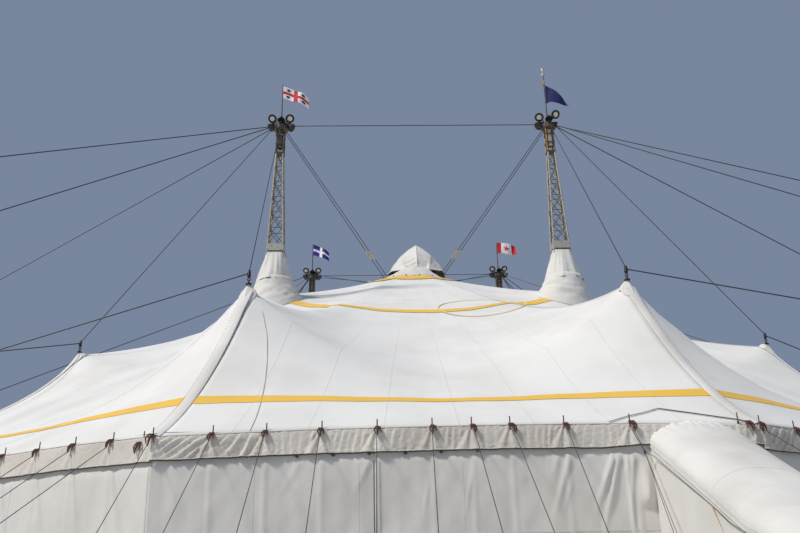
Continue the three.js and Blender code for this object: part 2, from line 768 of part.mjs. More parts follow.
// The eave rope: one closed loop round the tent that climbs over the entrance tunnel
function eaveRope() {
  const path = [];
  for (let k = 0; k < SIDES; k += 1) {
    const corner = sectorPoint(k, GUY_TOP[0], -GUY_TOP[0] * Math.tan(HALF_SECTOR), GUY_TOP[1]);
    const outward = new THREE.Vector3(corner.x, corner.y, 0).normalize().divideScalar(Math.cos(HALF_SECTOR));
    path.push([corner, outward]);
    if (k === 0) {
      for (const [x, distance, z] of GABLE) {
        path.push([new THREE.Vector3(x, -distance, z), new THREE.Vector3(0, -1, 0)]);
      }
    }
  }
  const half = GUY_WIDTH / 2;
  const rings = path.map(([point, outward]) => [[1, 1], [-1, 1], [-1, -1], [1, -1]].map(([a, b]) => (
    point.clone().addScaledVector(up, a * half).addScaledVector(outward, b * half)
  )));
  return solid(loft(rings, true));
}

function addGuys() {
  const pieces = [eaveRope()];
  for (let k = 0; k < SIDES; k += 1) {
    for (const share of poleShares(k)) {
      const across = share * GUY_TOP[0] * Math.tan(HALF_SECTOR);
      const head = sectorPoint(k, GUY_TOP[0], across, GUY_TOP[1]);
      const foot = sectorPoint(k, STAKE_DISTANCE, across, GUY_WIDTH);
      pieces.push(rod(head, foot, GUY_WIDTH * 0.6));
    }
  }
  add('eave_rope_and_guys', geometryOf(unite(pieces)), 'rope');
}

function peakPoint(k) {
  const peak = peakAt(k * 30 + 15);
  const angle = (k * 30 + 15) * (Math.PI / 180);
  const z = roofHeight(k, peak.radius * Math.cos(HALF_SECTOR), peak.radius * Math.sin(HALF_SECTOR));
  return new THREE.Vector3(peak.radius * Math.sin(angle), -peak.radius * Math.cos(angle), z);
}

// Height of the roof's upper facets over a place in plan
function roofTopAt(x, y) {
  const turn = Math.atan2(x, -y);
  const k = (Math.round(turn / (2 * HALF_SECTOR)) + SIDES) % SIDES;
  const own = turn - k * 2 * HALF_SECTOR;
  const radius = Math.hypot(x, y);
  const distance = radius * Math.cos(own);
  const limit = acrossAt(distance, 0.9999);
  const across = THREE.MathUtils.clamp(radius * Math.sin(own), -limit, limit);
  return facetHeight(grids[k], 'top', distance, across);
}

// A rod with a clamp plate and a block, its foot on the canvas at a peak
function hanger(k) {
  const peak = peakPoint(k);
  const around = ringAt(24, HANGER_ROD, 0);
  const heights = around.map((c) => roofTopAt(peak.x + c.x, peak.y + c.y));
  const foot = Math.max(...heights, peak.z) + GAP;
  const profile = [
    [HANGER_ROD, 0],
    [HANGER_ROD, 0.06 * M],
    [HANGER_PLATE, 0.08 * M],
    [HANGER_ROD, 0.11 * M],
    [HANGER_ROD, HANGER_HEIGHT - 0.22 * M],
    [HANGER_BLOCK, HANGER_HEIGHT - 0.16 * M],
    [HANGER_BLOCK, HANGER_HEIGHT],
  ];
  const rings = profile.map(([radius, z]) => ringAt(6, radius, z));
  return solid(loft(rings)).translate([peak.x, peak.y, foot]);
}

function hangerTop(k) {
  const top = peakPoint(k);
  top.z += HANGER_HEIGHT - 0.06 * M;
  return top;
}

function nearestMast(point) {
  return masts.find((mast) => mast.sx * point.x > 0 && mast.sy * point.y > 0);
}

function headPoint(mast) {
  return new THREE.Vector3(mast.x, mast.y, HEAD_RING_HEIGHT + HEAD_RING_DEPTH / 2);
}

function anchorBox(x, y) {
  const [w, l, h] = ANCHOR_SIZE;
  return box(x - w / 2, x + w / 2, y - l / 2, y + l / 2, 0, h);
}

// A ring plate round a mast's square head, that all its cables are shackled to
function headPlate(mast) {
  const slot = MAST_TOP_WIDTH / 2 + GAP;
  const hole = box(-slot, slot, -slot, slot, LATTICE_TOP, FLAGPOLE_TOP);
  return headRing(0).subtract(hole).translate([mast.x, mast.y, 0]);
}

// A cable that starts in a mast's head plate and stays clear of the mast itself
function headCable(mast, to, width, lift = 0) {
  const start = headPoint(mast);
  start.z += lift;
  const away = new THREE.Vector3(to.x - start.x, to.y - start.y, 0).normalize();
  start.addScaledVector(away, HEAD_RING_RADIUS * 0.87);
  return rod(start, to, width);
}

function isFront(mast) {
  return mast.sy < 0;
}

function sideOf(mast) {
  return mast.sx < 0 ? 'left' : 'right';
}

function addRigging() {
  const front = [];
  const back = [];
  for (const mast of masts) {
    const pieces = isFront(mast) ? front : back;
    pieces.push(headPlate(mast));
    const anchors = ANCHORS[sideOf(mast)];
    const places = isFront(mast) ? anchors : [...anchors, CROSS_ANCHOR];
    places.forEach(([ax, ay], i) => {
      const x = mast.sx * ax;
      const y = mast.sy * ay;
      const foot = new THREE.Vector3(x, y, ANCHOR_SIZE[2] * 0.8);
      pieces.push(anchorBox(x, y));
      if (i < STAYS || i >= anchors.length) {
        pieces.push(headCable(mast, foot, STAY_WIDTH, (i - 1) * 0.6 * STAY_WIDTH));
      }
    });
  }
  for (let k = 0; k < SIDES; k += 1) {
    const top = hangerTop(k);
    const mast = nearestMast(top);
    const pieces = isFront(mast) ? front : back;
    const angle = peakAt(k * 30 + 15).angle;
    const place = PEAK_ANCHORS[sideOf(mast)][angle];
    if (place === undefined) {
      continue;
    }
    const [ax, ay] = ANCHORS[sideOf(mast)][place];
    const apart = angle === 15 ? ANCHOR_SIZE[0] / 3 : -ANCHOR_SIZE[0] / 3;
    const foot = new THREE.Vector3(mast.sx * (ax - apart), mast.sy * (ay + apart), ANCHOR_SIZE[2] * 0.5);
    const lower = top.clone().addScaledVector(up, -TIE_WIDTH * 1.5);
    pieces.push(hanger(k));
    pieces.push(headCable(mast, top, TIE_WIDTH));
    pieces.push(rod(lower, foot, TIE_WIDTH));
  }
  front.push(headTie(masts[0], masts[1]));
  back.push(headTie(masts[2], masts[3]));
  add('rigging_front', geometryOf(unite(front)), 'rope');
  add('rigging_back', geometryOf(unite(back)), 'rope');
}

// The level tie between two mast heads, from plate to plate
function headTie(a, b) {
  const from = headPoint(a).lerp(headPoint(b), 0.02);
  const to = headPoint(b).lerp(headPoint(a), 0.02);
  return rod(from, to, TIE_WIDTH);
}

// Crown ring under the hood, and the ties from the mast heads to it and to each other
function crownRing() {
  const outer = solid(loft([
    ringAt(12, RING_OUTER / Math.cos(HALF_SECTOR), RING_BOTTOM, HALF_SECTOR),
    ringAt(12, RING_OUTER / Math.cos(HALF_SECTOR), RING_TOP, HALF_SECTOR),
  ]));
  const inner = solid(loft([
    ringAt(12, RING_INNER, RING_BOTTOM - 1, HALF_SECTOR),
    ringAt(12, RING_INNER, RING_TOP + 1, HALF_SECTOR),
  ]));
  return outer.subtract(inner);
}

function hoodRing(j, inset) {
  const [radius, height] = HOOD_PROFILE[j];
  const ring = [];
  for (let i = 0; i < HOOD_SIDES; i += 1) {
    const a = -Math.PI / 2 + (i * 2 * Math.PI) / HOOD_SIDES;
    const atSide = Math.abs(Math.cos(a)) > 0.9;
    const foot = atSide ? HOOD_VENT_HEIGHT : RING_TOP + GAP;
    const z = j === 0 ? foot : height - inset;
    ring.push(new THREE.Vector3((radius - inset) * Math.cos(a), (radius - inset) * Math.sin(a), z));
  }
  return ring;
}

function hood() {
  const outer = [0, 1, 2, 3].map((j) => hoodRing(j, 0));
  const inner = [3, 2, 1, 0].map((j) => hoodRing(j, CANVAS));
  const rings = [...outer, ...inner];
  const count = HOOD_SIDES;
  const points = rings.flat();
  const faces = [];
  for (let j = 0; j < rings.length; j += 1) {
    const nextRing = (j + 1) % rings.length;
    if (j === 3) {
      continue;
    }
    for (let i = 0; i < count; i += 1) {
      const next = (i + 1) % count;
      const a = j * count + i;
      const b = j * count + next;
      const c = nextRing * count + i;
      const d = nextRing * count + next;
      faces.push(a, b, d, a, d, c);
    }
  }
  for (let i = 1; i + 1 < count; i += 1) {
    faces.push(3 * count, 3 * count + i, 3 * count + i + 1);
    faces.push(4 * count, 4 * count + i + 1, 4 * count + i);
  }
  const geometry = new THREE.BufferGeometry();
  const flat = points.flatMap((p) => [p.x, p.y, p.z]);
  geometry.setAttribute('position', new THREE.Float32BufferAttribute(flat, 3));
  geometry.setIndex(faces);
  return geometry;
}

// Two ties from each mast head down to the crown ring, which they hold up
function addCrown() {
  const pieces = [crownRing()];
  for (const mast of masts) {
    const plate = headRing(GAP).translate([mast.x, mast.y, 0]);
    for (const degrees of CROWN_TIE_ANGLES) {
      const a = degrees * (Math.PI / 180);
      const x = mast.sx * CROWN_TIE_RADIUS * Math.sin(a);
      const y = mast.sy * CROWN_TIE_RADIUS * Math.cos(a);
      const end = new THREE.Vector3(x, y, RING_TOP - 0.1 * M);
      pieces.push(headCable(mast, end, TIE_WIDTH).subtract(plate));
    }
  }
  add('crown_ring_and_ties', geometryOf(unite(pieces)), 'steel');
  add('cupola_hood', hood(), 'canvas');
}

addRoof();
addMastCones();
addMasts();
addFlags();
addWalls();
addPoles();
addGuys();
addRigging();
addCrown();
addTunnel();

export default tent;
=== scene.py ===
# Looks of the circus big top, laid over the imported 1:2 model.
# Shapes are worked out in metres of the real tent and brought to the model's size by R.

from math import atan2, cos, degrees, exp, floor, hypot, pi, radians, sin, sqrt, tan
import random

import bpy
from mathutils import Matrix, Vector, noise


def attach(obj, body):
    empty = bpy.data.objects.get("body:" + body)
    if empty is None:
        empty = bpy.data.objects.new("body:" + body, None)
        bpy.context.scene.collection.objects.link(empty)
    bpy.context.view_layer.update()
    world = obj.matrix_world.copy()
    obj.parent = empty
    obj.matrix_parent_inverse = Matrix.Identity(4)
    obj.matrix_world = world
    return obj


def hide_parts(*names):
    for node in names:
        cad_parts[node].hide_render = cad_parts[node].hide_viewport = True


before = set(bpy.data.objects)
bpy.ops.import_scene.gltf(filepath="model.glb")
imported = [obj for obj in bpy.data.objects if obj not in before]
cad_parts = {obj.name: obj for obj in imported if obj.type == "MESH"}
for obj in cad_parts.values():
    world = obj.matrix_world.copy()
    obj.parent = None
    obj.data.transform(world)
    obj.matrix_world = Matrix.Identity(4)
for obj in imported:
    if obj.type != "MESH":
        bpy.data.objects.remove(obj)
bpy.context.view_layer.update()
random.seed(7)

# Model metres for one metre of the real tent
R = 0.5

# Plan and profile of the tent, as in the solids
SIDES = 12
HALF = pi / SIDES
EAVE_RADIUS = 25.5
EAVE = EAVE_RADIUS * cos(HALF)
EAVE_Z = 5.47
# Half the width of a side for each metre from the centre, and at the eave
REACH = tan(HALF)
EAVE_HALF = EAVE * REACH
KNEE = (13.15, 12.33)
CROWN = (1.84, 18.4)
# Radius and height of the peak on each ridge, and how fast the ridge falls outside it
PEAKS = {15: (21.04, 10.5, 2), 45: (18.06, 10.87, 7), 75: (18.06, 10.1, 2)}
PEAK_INNER = 9.5
PEAK_INNER_FALL = 2.4
RIDGE_SHARPNESS = 1.8
MAST_X = 6.2
MAST_Y = 9.2
MAST_WIDTH = 0.76
MAST_TOP_WIDTH = 0.36
COLLAR_Z = 16.35
LATTICE_TOP = 21.5
HEAD_TOP = 22.9
CABLE_Z = 22.74
MAST_PULL = 1.05
MAST_REACH = 4.2
VALANCE_DROP = 0.53
VALANCE_FLARE = 0.03
WALL = 24.5
POLE_BAYS = 11
FRONT_SHARES = [-1, -0.806, -0.632, -0.451, -0.27, -0.089, 0.041, 0.168, 0.347, 0.566]
STAKE = 31.5
# The webbing's way over the roof above the entrance, as x and distance
GABLE = [(3.28, 24.62), (3.78, 24.32), (4.15, 24.15), (4.61, 23.95), (5.28, 24.15), (5.86, 24.34),
         (6.18, 24.44), (6.4, 24.62)]
# Radius of the upper band by the bearing from the front or the back, in degrees
UPPER_BAND = [(0, 13.35), (8, 13.3), (14, 12.8), (20, 11.75), (27, 11.25), (34, 11.3), (45, 12.0),
              (90, 12.6)]
# How far a stake of the front stands beside its pole, by the pole's share of the side
STAKE_SHIFTS = {-0.806: -0.3, -0.089: -0.3, 0.041: 0.17, 0.168: 0.27, 0.347: -0.3}
# How far the front eave sags or rises from the straight line, by x
EAVE_SHIFT = [(-9.0, 0.0), (-6.6, -0.08), (-6.0, -0.074), (-3.3, 0.01), (-1.2, 0.04), (0.9, 0.06),
              (3.2, 0.054), (6.6, 0.0)]
# Ground anchors of each side; the first three hold the mast's stays
ANCHORS = {-1: [(33.0, 39.0), (30.0, 30.0), (36.0, 13.5), (33.0, 24.0)],
           1: [(36.0, 30.0), (30.0, 29.0), (36.0, 13.5)]}
# The anchor each hung peak is pulled to, by side and angle
PEAK_ANCHORS = {-1: {15: 3, 45: 0}, 1: {15: 0, 45: 2}}
CROSS_ANCHOR = (35.0, -16.3)
HANGER = 0.55
TUNNEL_X = 5.09
TUNNEL_HALF = 0.95
TUNNEL_RISE = 0.42
TUNNEL_LINE = [(24.25, 5.32), (24.75, 5.08), (27.7, 3.6), (29.0, 2.92), (30.4, 2.45)]
HOOP = 27.7
HOOP_SPACING = 3.3
# The vault's cloth starts just behind the valance
VAULT_START = 24.58
TUNNEL_LENGTH = TUNNEL_LINE[-1][0] - VAULT_START
# Share of the vault's width that hangs down at each side
VAULT_EDGE = 0.09
CORNERS = [(-1, -1), (1, -1), (1, 1), (-1, 1)]
MASTS = list(zip(CORNERS, ["front_left", "front_right", "back_right", "back_left"]))


# Helpers
def along_line(line, at):
    """Value at a place on a line of (place, value) pairs; it stays level beyond both ends."""
    if at <= line[0][0]:
        return line[0][1]
    for (a, low), (b, high) in zip(line, line[1:]):
        if at <= b:
            return low + (high - low) * (at - a) / (b - a)
    return line[-1][1]


def clamp(value):
    return max(0.0, min(1.0, value))


def steps(count):
    """Even shares from 0 to 1, both ends with them."""
    return [i / count for i in range(count + 1)]


def polar(radius, a, z=0.0):
    return Vector((radius * cos(a), radius * sin(a), z))


def upward(height):
    return Vector((0, 0, height))


def wander(x, y, z):
    """Smooth noise at a place, about -1 to 1."""
    return noise.noise(Vector((x, y, z)))


def wander_round(radius, a, z):
    """Smooth noise that closes round a circle."""
    return noise.noise(polar(radius, a, z))


def by_side(k, front, beside, others):
    """A value for the front side, for the two beside it and for all the others."""
    return front if k == 0 else beside if k in (1, SIDES - 1) else others


def node_material(name, build):
    """A new material; build(tree) makes its nodes and says what the shader's inputs get."""
    material = bpy.data.materials.new(name)
    material.use_nodes = True
    tree = material.node_tree
    shader = tree.nodes["Principled BSDF"]
    for key, value in build(tree).items():
        feed(tree, shader.inputs[key], value)
    return material


def feed(tree, socket, value):
    """Links a socket to an input, or sets the input to a plain value or an opaque colour."""
    if isinstance(value, bpy.types.NodeSocket):
        tree.links.new(value, socket)
    elif socket.type == "RGBA":
        socket.default_value = (*value, 1.0)
    else:
        socket.default_value = value


def add_node(tree, kind, *inputs, **values):
    """A node's first output; the node's inputs are fed in order, or by name."""
    node = tree.nodes.new(kind)
    for key, value in values.items():
        if hasattr(node, key):
            setattr(node, key, value)
        else:
            feed(tree, node.inputs[key.replace("_", " ")], value)
    for socket, value in zip(node.inputs, inputs):
        feed(tree, socket, value)
    return node.outputs[0]


def mix_colour(tree, factor, first, second):
    """Mixes two colours, each a socket or a colour, by a factor socket."""
    mix = tree.nodes.new("ShaderNodeMix")
    mix.data_type = "RGBA"
    for index, value in ((0, factor), (6, first), (7, second)):
        feed(tree, mix.inputs[index], value)
    return mix.outputs[2]


def noise_factor(tree, vector, scale, low, high, detail, squeeze=(1, 1, 1)):
    """A noise brought to 0..1 between two of its levels."""
    mapped = add_node(tree, "ShaderNodeMapping", vector, Scale=squeeze)
    texture = add_node(tree, "ShaderNodeTexNoise", mapped, Scale=scale, Detail=detail)
    return add_node(tree, "ShaderNodeMapRange", texture, From_Min=low, From_Max=high)


def arithmetic(tree, operation, first, second):
    return add_node(tree, "ShaderNodeMath", first, second, operation=operation)


def canvas_material(name, colour, shade, streak=0.5, seams=0, crumple=0.3):
    """Coated canvas: faint dirt, streaks down the slope, a fine weave and, with UVs, welded seams."""

    def build(tree):
        place = tree.nodes.new("ShaderNodeTexCoord")
        where = place.outputs["Object"]
        sheet = place.outputs["UV"]
        mixed = mix_colour(tree, noise_factor(tree, where, 1.1, 0.42, 0.75, 5.0), colour, shade)
        streaks = noise_factor(tree, sheet, 1.0, 0.55, 0.95, 3.0, (9, 0.35, 1))
        mixed = mix_colour(tree, arithmetic(tree, "MULTIPLY", streaks, streak), mixed, shade)
        weave = add_node(tree, "ShaderNodeTexNoise", where, Scale=260.0, Detail=2.0)
        height = add_node(tree, "ShaderNodeTexNoise", where, Scale=3.2, Detail=6.0, Distortion=0.6)
        if seams:
            across = add_node(tree, "ShaderNodeSeparateXYZ", sheet)
            wave = arithmetic(tree, "PINGPONG", arithmetic(tree, "MULTIPLY", across, seams), 0.5)
            line = add_node(tree, "ShaderNodeMapRange", wave, From_Min=0.02, From_Max=0.006)
            grime = tuple(0.6 * c for c in shade)
            mixed = mix_colour(tree, arithmetic(tree, "MULTIPLY", line, 0.12), mixed, grime)
            height = arithmetic(tree, "ADD", height, line)
        soft = add_node(tree, "ShaderNodeBump", Strength=crumple, Distance=0.02, Height=height)
        fine = add_node(tree, "ShaderNodeBump", Strength=0.12, Distance=0.002, Height=weave, Normal=soft)
        return {"Base Color": mixed, "Roughness": 0.75, "Normal": fine, "Specular IOR Level": 0.3,
                "Sheen Weight": 0.08}

    return node_material(name, build)


def worn_material(name, colour, worn, roughness=0.8, metallic=0.0, scale=14.0):
    """A hard surface with blotches of a second colour and a light bump."""

    def build(tree):
        where = tree.nodes.new("ShaderNodeTexCoord").outputs["Object"]
        blotch = noise_factor(tree, where, scale, 0.5, 0.7, 6.0)
        mixed = mix_colour(tree, blotch, colour, worn)
        grain = add_node(tree, "ShaderNodeTexNoise", where, Scale=scale * 6, Detail=4.0)
        bump = add_node(tree, "ShaderNodeBump", Strength=0.15, Distance=0.003, Height=grain)
        return {"Base Color": mixed, "Roughness": roughness, "Metallic": metallic, "Normal": bump}

    return node_material(name, build)


WHITE = canvas_material("roof white", (0.75, 0.745, 0.725), (0.66, 0.65, 0.625), seams=8, crumple=0.15)
PLAIN_WHITE = canvas_material("plain white canvas", (0.69, 0.68, 0.65), (0.56, 0.545, 0.51), crumple=0.45)
VALANCE = canvas_material("valance canvas", (0.66, 0.625, 0.565), (0.50, 0.465, 0.415), crumple=0.8)
WALL_CLOTH = canvas_material("wall canvas", (0.67, 0.655, 0.62), (0.575, 0.56, 0.52), crumple=0.4)
YELLOW = canvas_material("yellow band", (0.80, 0.50, 0.075), (0.72, 0.43, 0.06), streak=0.3)
PALE_YELLOW = canvas_material("pale yellow ring", (0.78, 0.60, 0.28), (0.72, 0.54, 0.25), streak=0.2)
TUNNEL_SEAM = worn_material("tunnel seam", (0.62, 0.615, 0.60), (0.54, 0.535, 0.52), scale=20)
HEM_ROLL = worn_material("hem roll", (0.62, 0.60, 0.56), (0.42, 0.40, 0.36), scale=40)
WALL_SEAM = worn_material("wall seam", (0.56, 0.555, 0.535), (0.46, 0.45, 0.43), scale=20)
EAVE_CORD_AND_SHADOW = worn_material("eave cord and painted shadow", (0.42, 0.405, 0.38), (0.30, 0.29, 0.27), scale=30)
DARK_WEBBING = worn_material("dark webbing", (0.10, 0.10, 0.10), (0.17, 0.165, 0.16), scale=30)
PIN_STEEL = worn_material("pin steel", (0.085, 0.078, 0.075), (0.05, 0.035, 0.03), 0.55, 0.3)
# Near-black for the valance's lugs and the crown ring, and painted shade under the valance's roll, in the
# sleeves' lap, inside the hood and at a wall flap
DARK_HEM_AND_SHADE = worn_material("dark hem and painted shade", (0.03, 0.028, 0.026), (0.07, 0.06, 0.05))
LEG_PAINT = worn_material("mast paint", (0.42, 0.38, 0.30), (0.20, 0.165, 0.12), 0.55, 0.15)
MAST_DARK = worn_material("mast dark", (0.07, 0.058, 0.045), (0.16, 0.12, 0.08), 0.6, 0.2)
OCHRE = worn_material("ochre steel", (0.42, 0.25, 0.07), (0.22, 0.12, 0.05), 0.6, 0.2)
PALE_STEEL = worn_material("pale steel", (0.45, 0.44, 0.41), (0.30, 0.28, 0.25), 0.5, 0.4)
GALVANISED = worn_material("galvanised", (0.42, 0.42, 0.42), (0.30, 0.30, 0.29), 0.45, 0.7)
BLACK = worn_material("black fitting", (0.012, 0.012, 0.013), (0.05, 0.04, 0.035), 0.45, 0.3)
CABLE = worn_material("wire rope", (0.035, 0.04, 0.05), (0.09, 0.09, 0.10), 0.5, 0.5, 60.0)
GUY = worn_material("guy rope", (0.045, 0.043, 0.042), (0.10, 0.095, 0.09), scale=60)
STRAP = worn_material("strap webbing", (0.13, 0.040, 0.028), (0.045, 0.018, 0.015), scale=40)
CONCRETE = worn_material("concrete", (0.40, 0.39, 0.36), (0.28, 0.27, 0.25), 0.9, 0.0, 9.0)
LAMP_GLASS = worn_material("lamp glass", (0.62, 0.57, 0.45), (0.78, 0.75, 0.66), 0.2, 0.0, 30.0)
FLAG_WHITE = canvas_material("flag white", (0.78, 0.76, 0.77), (0.66, 0.64, 0.66), crumple=0.5)
FLAG_RED = canvas_material("flag red", (0.55, 0.02, 0.03), (0.40, 0.015, 0.02), crumple=0.5)
FLAG_BLUE = canvas_material("flag blue", (0.025, 0.03, 0.26), (0.015, 0.02, 0.17), crumple=0.5)
FLAG_NAVY = canvas_material("flag navy", (0.015, 0.02, 0.13), (0.01, 0.015, 0.08), crumple=0.5)
FLAG_DARK = canvas_material("flag dark", (0.05, 0.04, 0.09), (0.03, 0.025, 0.05), crumple=0.5)


def add_object(name, data):
    item = bpy.data.objects.new(name, data)
    bpy.context.collection.objects.link(item)
    return item


def make(name, points, faces, material, slot, uvs=None):
    """A mesh object from points in real metres, riding on the tent."""
    mesh = bpy.data.meshes.new(name)
    mesh.from_pydata([Vector(p) * R for p in points], [], faces)
    for one in material if isinstance(material, list) else [material]:
        mesh.materials.append(one)
    if uvs:
        layer = mesh.uv_layers.new(name="metres")
        for loop in mesh.loops:
            layer.data[loop.index].uv = uvs[loop.vertex_index]
    mesh.polygons.foreach_set("use_smooth", [True] * len(mesh.polygons))
    mesh.update()
    piece = add_object(name, mesh)
    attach(piece, "root")
    return piece


def grid(columns, rows, place, uv=(1, 1), loop=False):
    """Points, faces and UVs of a net; place(s, t) gives a point for s, t in 0..1, and uv its sizes."""
    points = []
    uvs = []
    for i in range(columns + (0 if loop else 1)):
        for j in range(rows + 1):
            s = i / columns
            t = j / rows
            points.append(place(s, t))
            uvs.append((s * uv[0], t * uv[1]))
    faces = []
    span = rows + 1
    count = len(points)
    for i in range(columns):
        for j in range(rows):
            a = i * span + j
            b = (a + span) % count
            faces.append((a, b, b + 1, a + 1))
    return points, faces, uvs


def fix_up(piece, away=None):
    """Turns the faces so that they look up, or away from a point in real metres."""
    mesh = piece.data
    total = 0.0
    for face in mesh.polygons:
        if away is None:
            total += face.normal.z * face.area
        else:
            total += face.normal.dot((face.center - Vector(away) * R).normalized()) * face.area
    if total < 0:
        mesh.flip_normals()


def declare_cloth(piece, thickness):
    thick = piece.modifiers.new("cloth", "SOLIDIFY")
    thick.thickness = thickness * R
    thick.offset = -1.0


def make_cloth(name, net, material, slot, rests_on, away=None, stands_for=None, thickness=0.008):
    """A sheet of cloth from a net, which takes the place of a solid where one is named."""
    points, faces, uvs = net
    piece = make(name, points, faces, material, slot, uvs=uvs)
    fix_up(piece, away)
    declare_cloth(piece, thickness)
    if stands_for:
        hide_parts(stands_for)
    return piece


def square_to(axis):
    """A direction at a right angle to an axis."""
    guess = Vector((0, 0, 1)) if abs(axis.z) < 0.9 else Vector((1, 0, 0))
    return axis.cross(guess).normalized()


class Parts:
    """Collects tubes, boxes and rings that become one object; material is that of what is added next."""

    def __init__(self):
        self.points = []
        self.faces = []
        self.coats = []
        self.material = None

    def add(self, points, faces):
        start = len(self.points)
        self.points.extend(points)
        self.faces.extend([tuple(i + start for i in face) for face in faces])
        self.coats.extend([self.material] * len(faces))

    def tube(self, path, radius, sides, closed=False):
        path = [Vector(p) for p in path]
        count = len(path)
        radii = radius if isinstance(radius, list) else [radius] * count
        points = []
        normal = None
        for i, p in enumerate(path):
            before = path[(i - 1) % count] if closed or i > 0 else p
            after = path[(i + 1) % count] if closed or i + 1 < count else p
            along = (after - before).normalized()
            if normal is None:
                normal = square_to(along)
            normal = (normal - along * normal.dot(along)).normalized()
            other = along.cross(normal)
            for j in range(sides):
                a = 2 * pi * j / sides
                points.append(p + (normal * cos(a) + other * sin(a)) * radii[i])
        faces = []
        for i in range(count if closed else count - 1):
            for j in range(sides):
                a = i * sides + j
                b = i * sides + (j + 1) % sides
                c = ((i + 1) % count) * sides + j
                d = ((i + 1) % count) * sides + (j + 1) % sides
                faces.append((a, b, d, c))
        if not closed:
            faces.append(tuple(reversed(range(sides))))
            faces.append(tuple(range((count - 1) * sides, count * sides)))
        self.add(points, faces)

    def box(self, centre, size, turn=None):
        centre = Vector(centre)
        points = []
        for sz in (-1, 1):
            for sx, sy in CORNERS:
                p = Vector((sx * size[0] / 2, sy * size[1] / 2, sz * size[2] / 2))
                points.append(centre + (turn @ p if turn else p))
        faces = [(0, 3, 2, 1), (4, 5, 6, 7), (0, 1, 5, 4), (1, 2, 6, 5), (2, 3, 7, 6), (3, 0, 4, 7)]
        self.add(points, faces)

    def ring(self, centre, radius, thickness, axis, sides, around):
        axis = Vector(axis).normalized()
        first = square_to(axis)
        second = axis.cross(first)
        path = []
        for i in range(sides):
            a = 2 * pi * i / sides
            path.append(Vector(centre) + (first * cos(a) + second * sin(a)) * radius)
        self.tube(path, thickness, around, closed=True)

    def turned(self, centre, profile, sides, axis=(0, 0, 1)):
        """A body of revolution: profile is a list of (radius, way along the axis)."""
        axis = Vector(axis).normalized()
        path = [Vector(centre) + axis * along for _, along in profile]
        self.tube(path, [radius for radius, _ in profile], sides)

    def make(self, name, material, slot):
        """The object; what was added before a material was chosen gets the first one."""
        piece = make(name, self.points, self.faces, material, slot)
        used = list(piece.data.materials)
        piece.data.polygons.foreach_set("material_index", [used.index(c) if c else 0 for c in self.coats])
        piece.data.set_sharp_from_angle(angle=radians(40))
        return piece


# Roof surface
def sector_point(k, d, a, z):
    """A point of side k: d out from the centre, a across and z up."""
    turn = 2 * HALF * k
    return Vector((d * sin(turn) + a * cos(turn), -d * cos(turn) + a * sin(turn), z))


def ridge_angle(k):
    """Angle between the ridge after side k and the front or the back: 15, 45 or 75 degrees."""
    turned = (k * 30 + 15) % 180
    return min(turned, 180 - turned)


def mid_height(d):
    """Height of the roof along the middle of a side."""
    if d > KNEE[0]:
        return EAVE_Z + (EAVE - d) * (KNEE[1] - EAVE_Z) / (EAVE - KNEE[0])
    return KNEE[1] + (KNEE[0] - d) * (CROWN[1] - KNEE[1]) / (KNEE[0] - CROWN[0])


def ridge_lift(peak, radius):
    """How far a ridge stands above the middle line of its sides."""
    lift = peak[1] - mid_height(peak[0] * cos(HALF))
    if radius >= peak[0]:
        return lift * max(0.0, (EAVE_RADIUS - radius) / (EAVE_RADIUS - peak[0])) ** peak[2]
    return lift * max(0.0, (radius - PEAK_INNER) / (peak[0] - PEAK_INNER)) ** PEAK_INNER_FALL


def mast_lift(x, y):
    """How far the masts draw the canvas up round them and towards the crown."""
    mx, my = abs(x), abs(y)
    length = hypot(MAST_X, MAST_Y)
    t = clamp((mx * MAST_X + my * MAST_Y) / length ** 2)
    away = hypot(mx - t * MAST_X, my - t * MAST_Y)
    reach = MAST_REACH * (0.25 + 0.75 * t)
    return MAST_PULL * t ** 2 * max(0.0, 1 - away / reach) ** 2


def eave_shift(x, y):
    return along_line(EAVE_SHIFT, x) if y < -20 and abs(x) < 9 else 0.0


def eave_height(k, across):
    """Height of the eave at a place across a side."""
    edge = sector_point(k, EAVE, across, 0)
    return EAVE_Z + eave_shift(edge.x, edge.y)


def roof_height(k, d, a):
    radius = hypot(d, a)
    turned = degrees(atan2(a, d))
    peak = PEAKS[ridge_angle(k if turned >= 0 else k - 1)]
    nearness = min(1.0, abs(turned) / 15)
    p = sector_point(k, d, a, 0)
    shift = eave_shift(p.x, p.y) * max(0.0, 1 - (EAVE - d) / 2.5)
    ridge = ridge_lift(peak, radius) * nearness ** RIDGE_SHARPNESS
    return mid_height(d) + ridge + mast_lift(p.x, p.y) + shift


def roof_relief(k, d, a):
    """Slack folds and creases of the canvas, in metres, the same on both sides of a ridge."""
    p = sector_point(k, d, a, 0)
    wide = wander(p.x * 0.16, p.y * 0.16, 3.0) * 0.03
    radius = hypot(d, a)
    bearing = atan2(p.x, -p.y)
    radial = wander(bearing * 26, radius * 0.12, 9.0) * 0.012 * min(1.0, radius / 12) ** 2
    eave = max(0.0, 1 - (EAVE - d) / 1.6)
    tug = wander(bearing * 60, radius * 0.8, 5.0) * 0.016 * eave
    edge = clamp((EAVE - d) / 0.6) * clamp((d - CROWN[0]) / 0.8)
    return (wide + radial) * edge + tug * clamp((EAVE - d) / 0.15)


def roof_point(k, d, a, lift=0.0):
    return sector_point(k, d, a, roof_height(k, d, a) + roof_relief(k, d, a) + lift)


def two(k):
    return f"{k + 1:02d}"


def make_roof():
    for k in range(SIDES):
        def place(s, t):
            d = EAVE + (CROWN[0] - EAVE) * t
            return roof_point(k, d, (2 * s - 1) * d * REACH)

        columns, rows = by_side(k, (40, 92), (40, 92), (24, 46))
        points, faces, uvs = grid(columns, rows, place)
        # The order of the corners decides which way each face is split, and the bands lie close over them
        net = (points, [face[::-1] for face in faces], uvs)
        make_cloth(f"roof_canvas_{two(k)}", net, WHITE, "roof_canvas", "mast_front_left",
                   stands_for=f"roof_panel_{two(k)}")


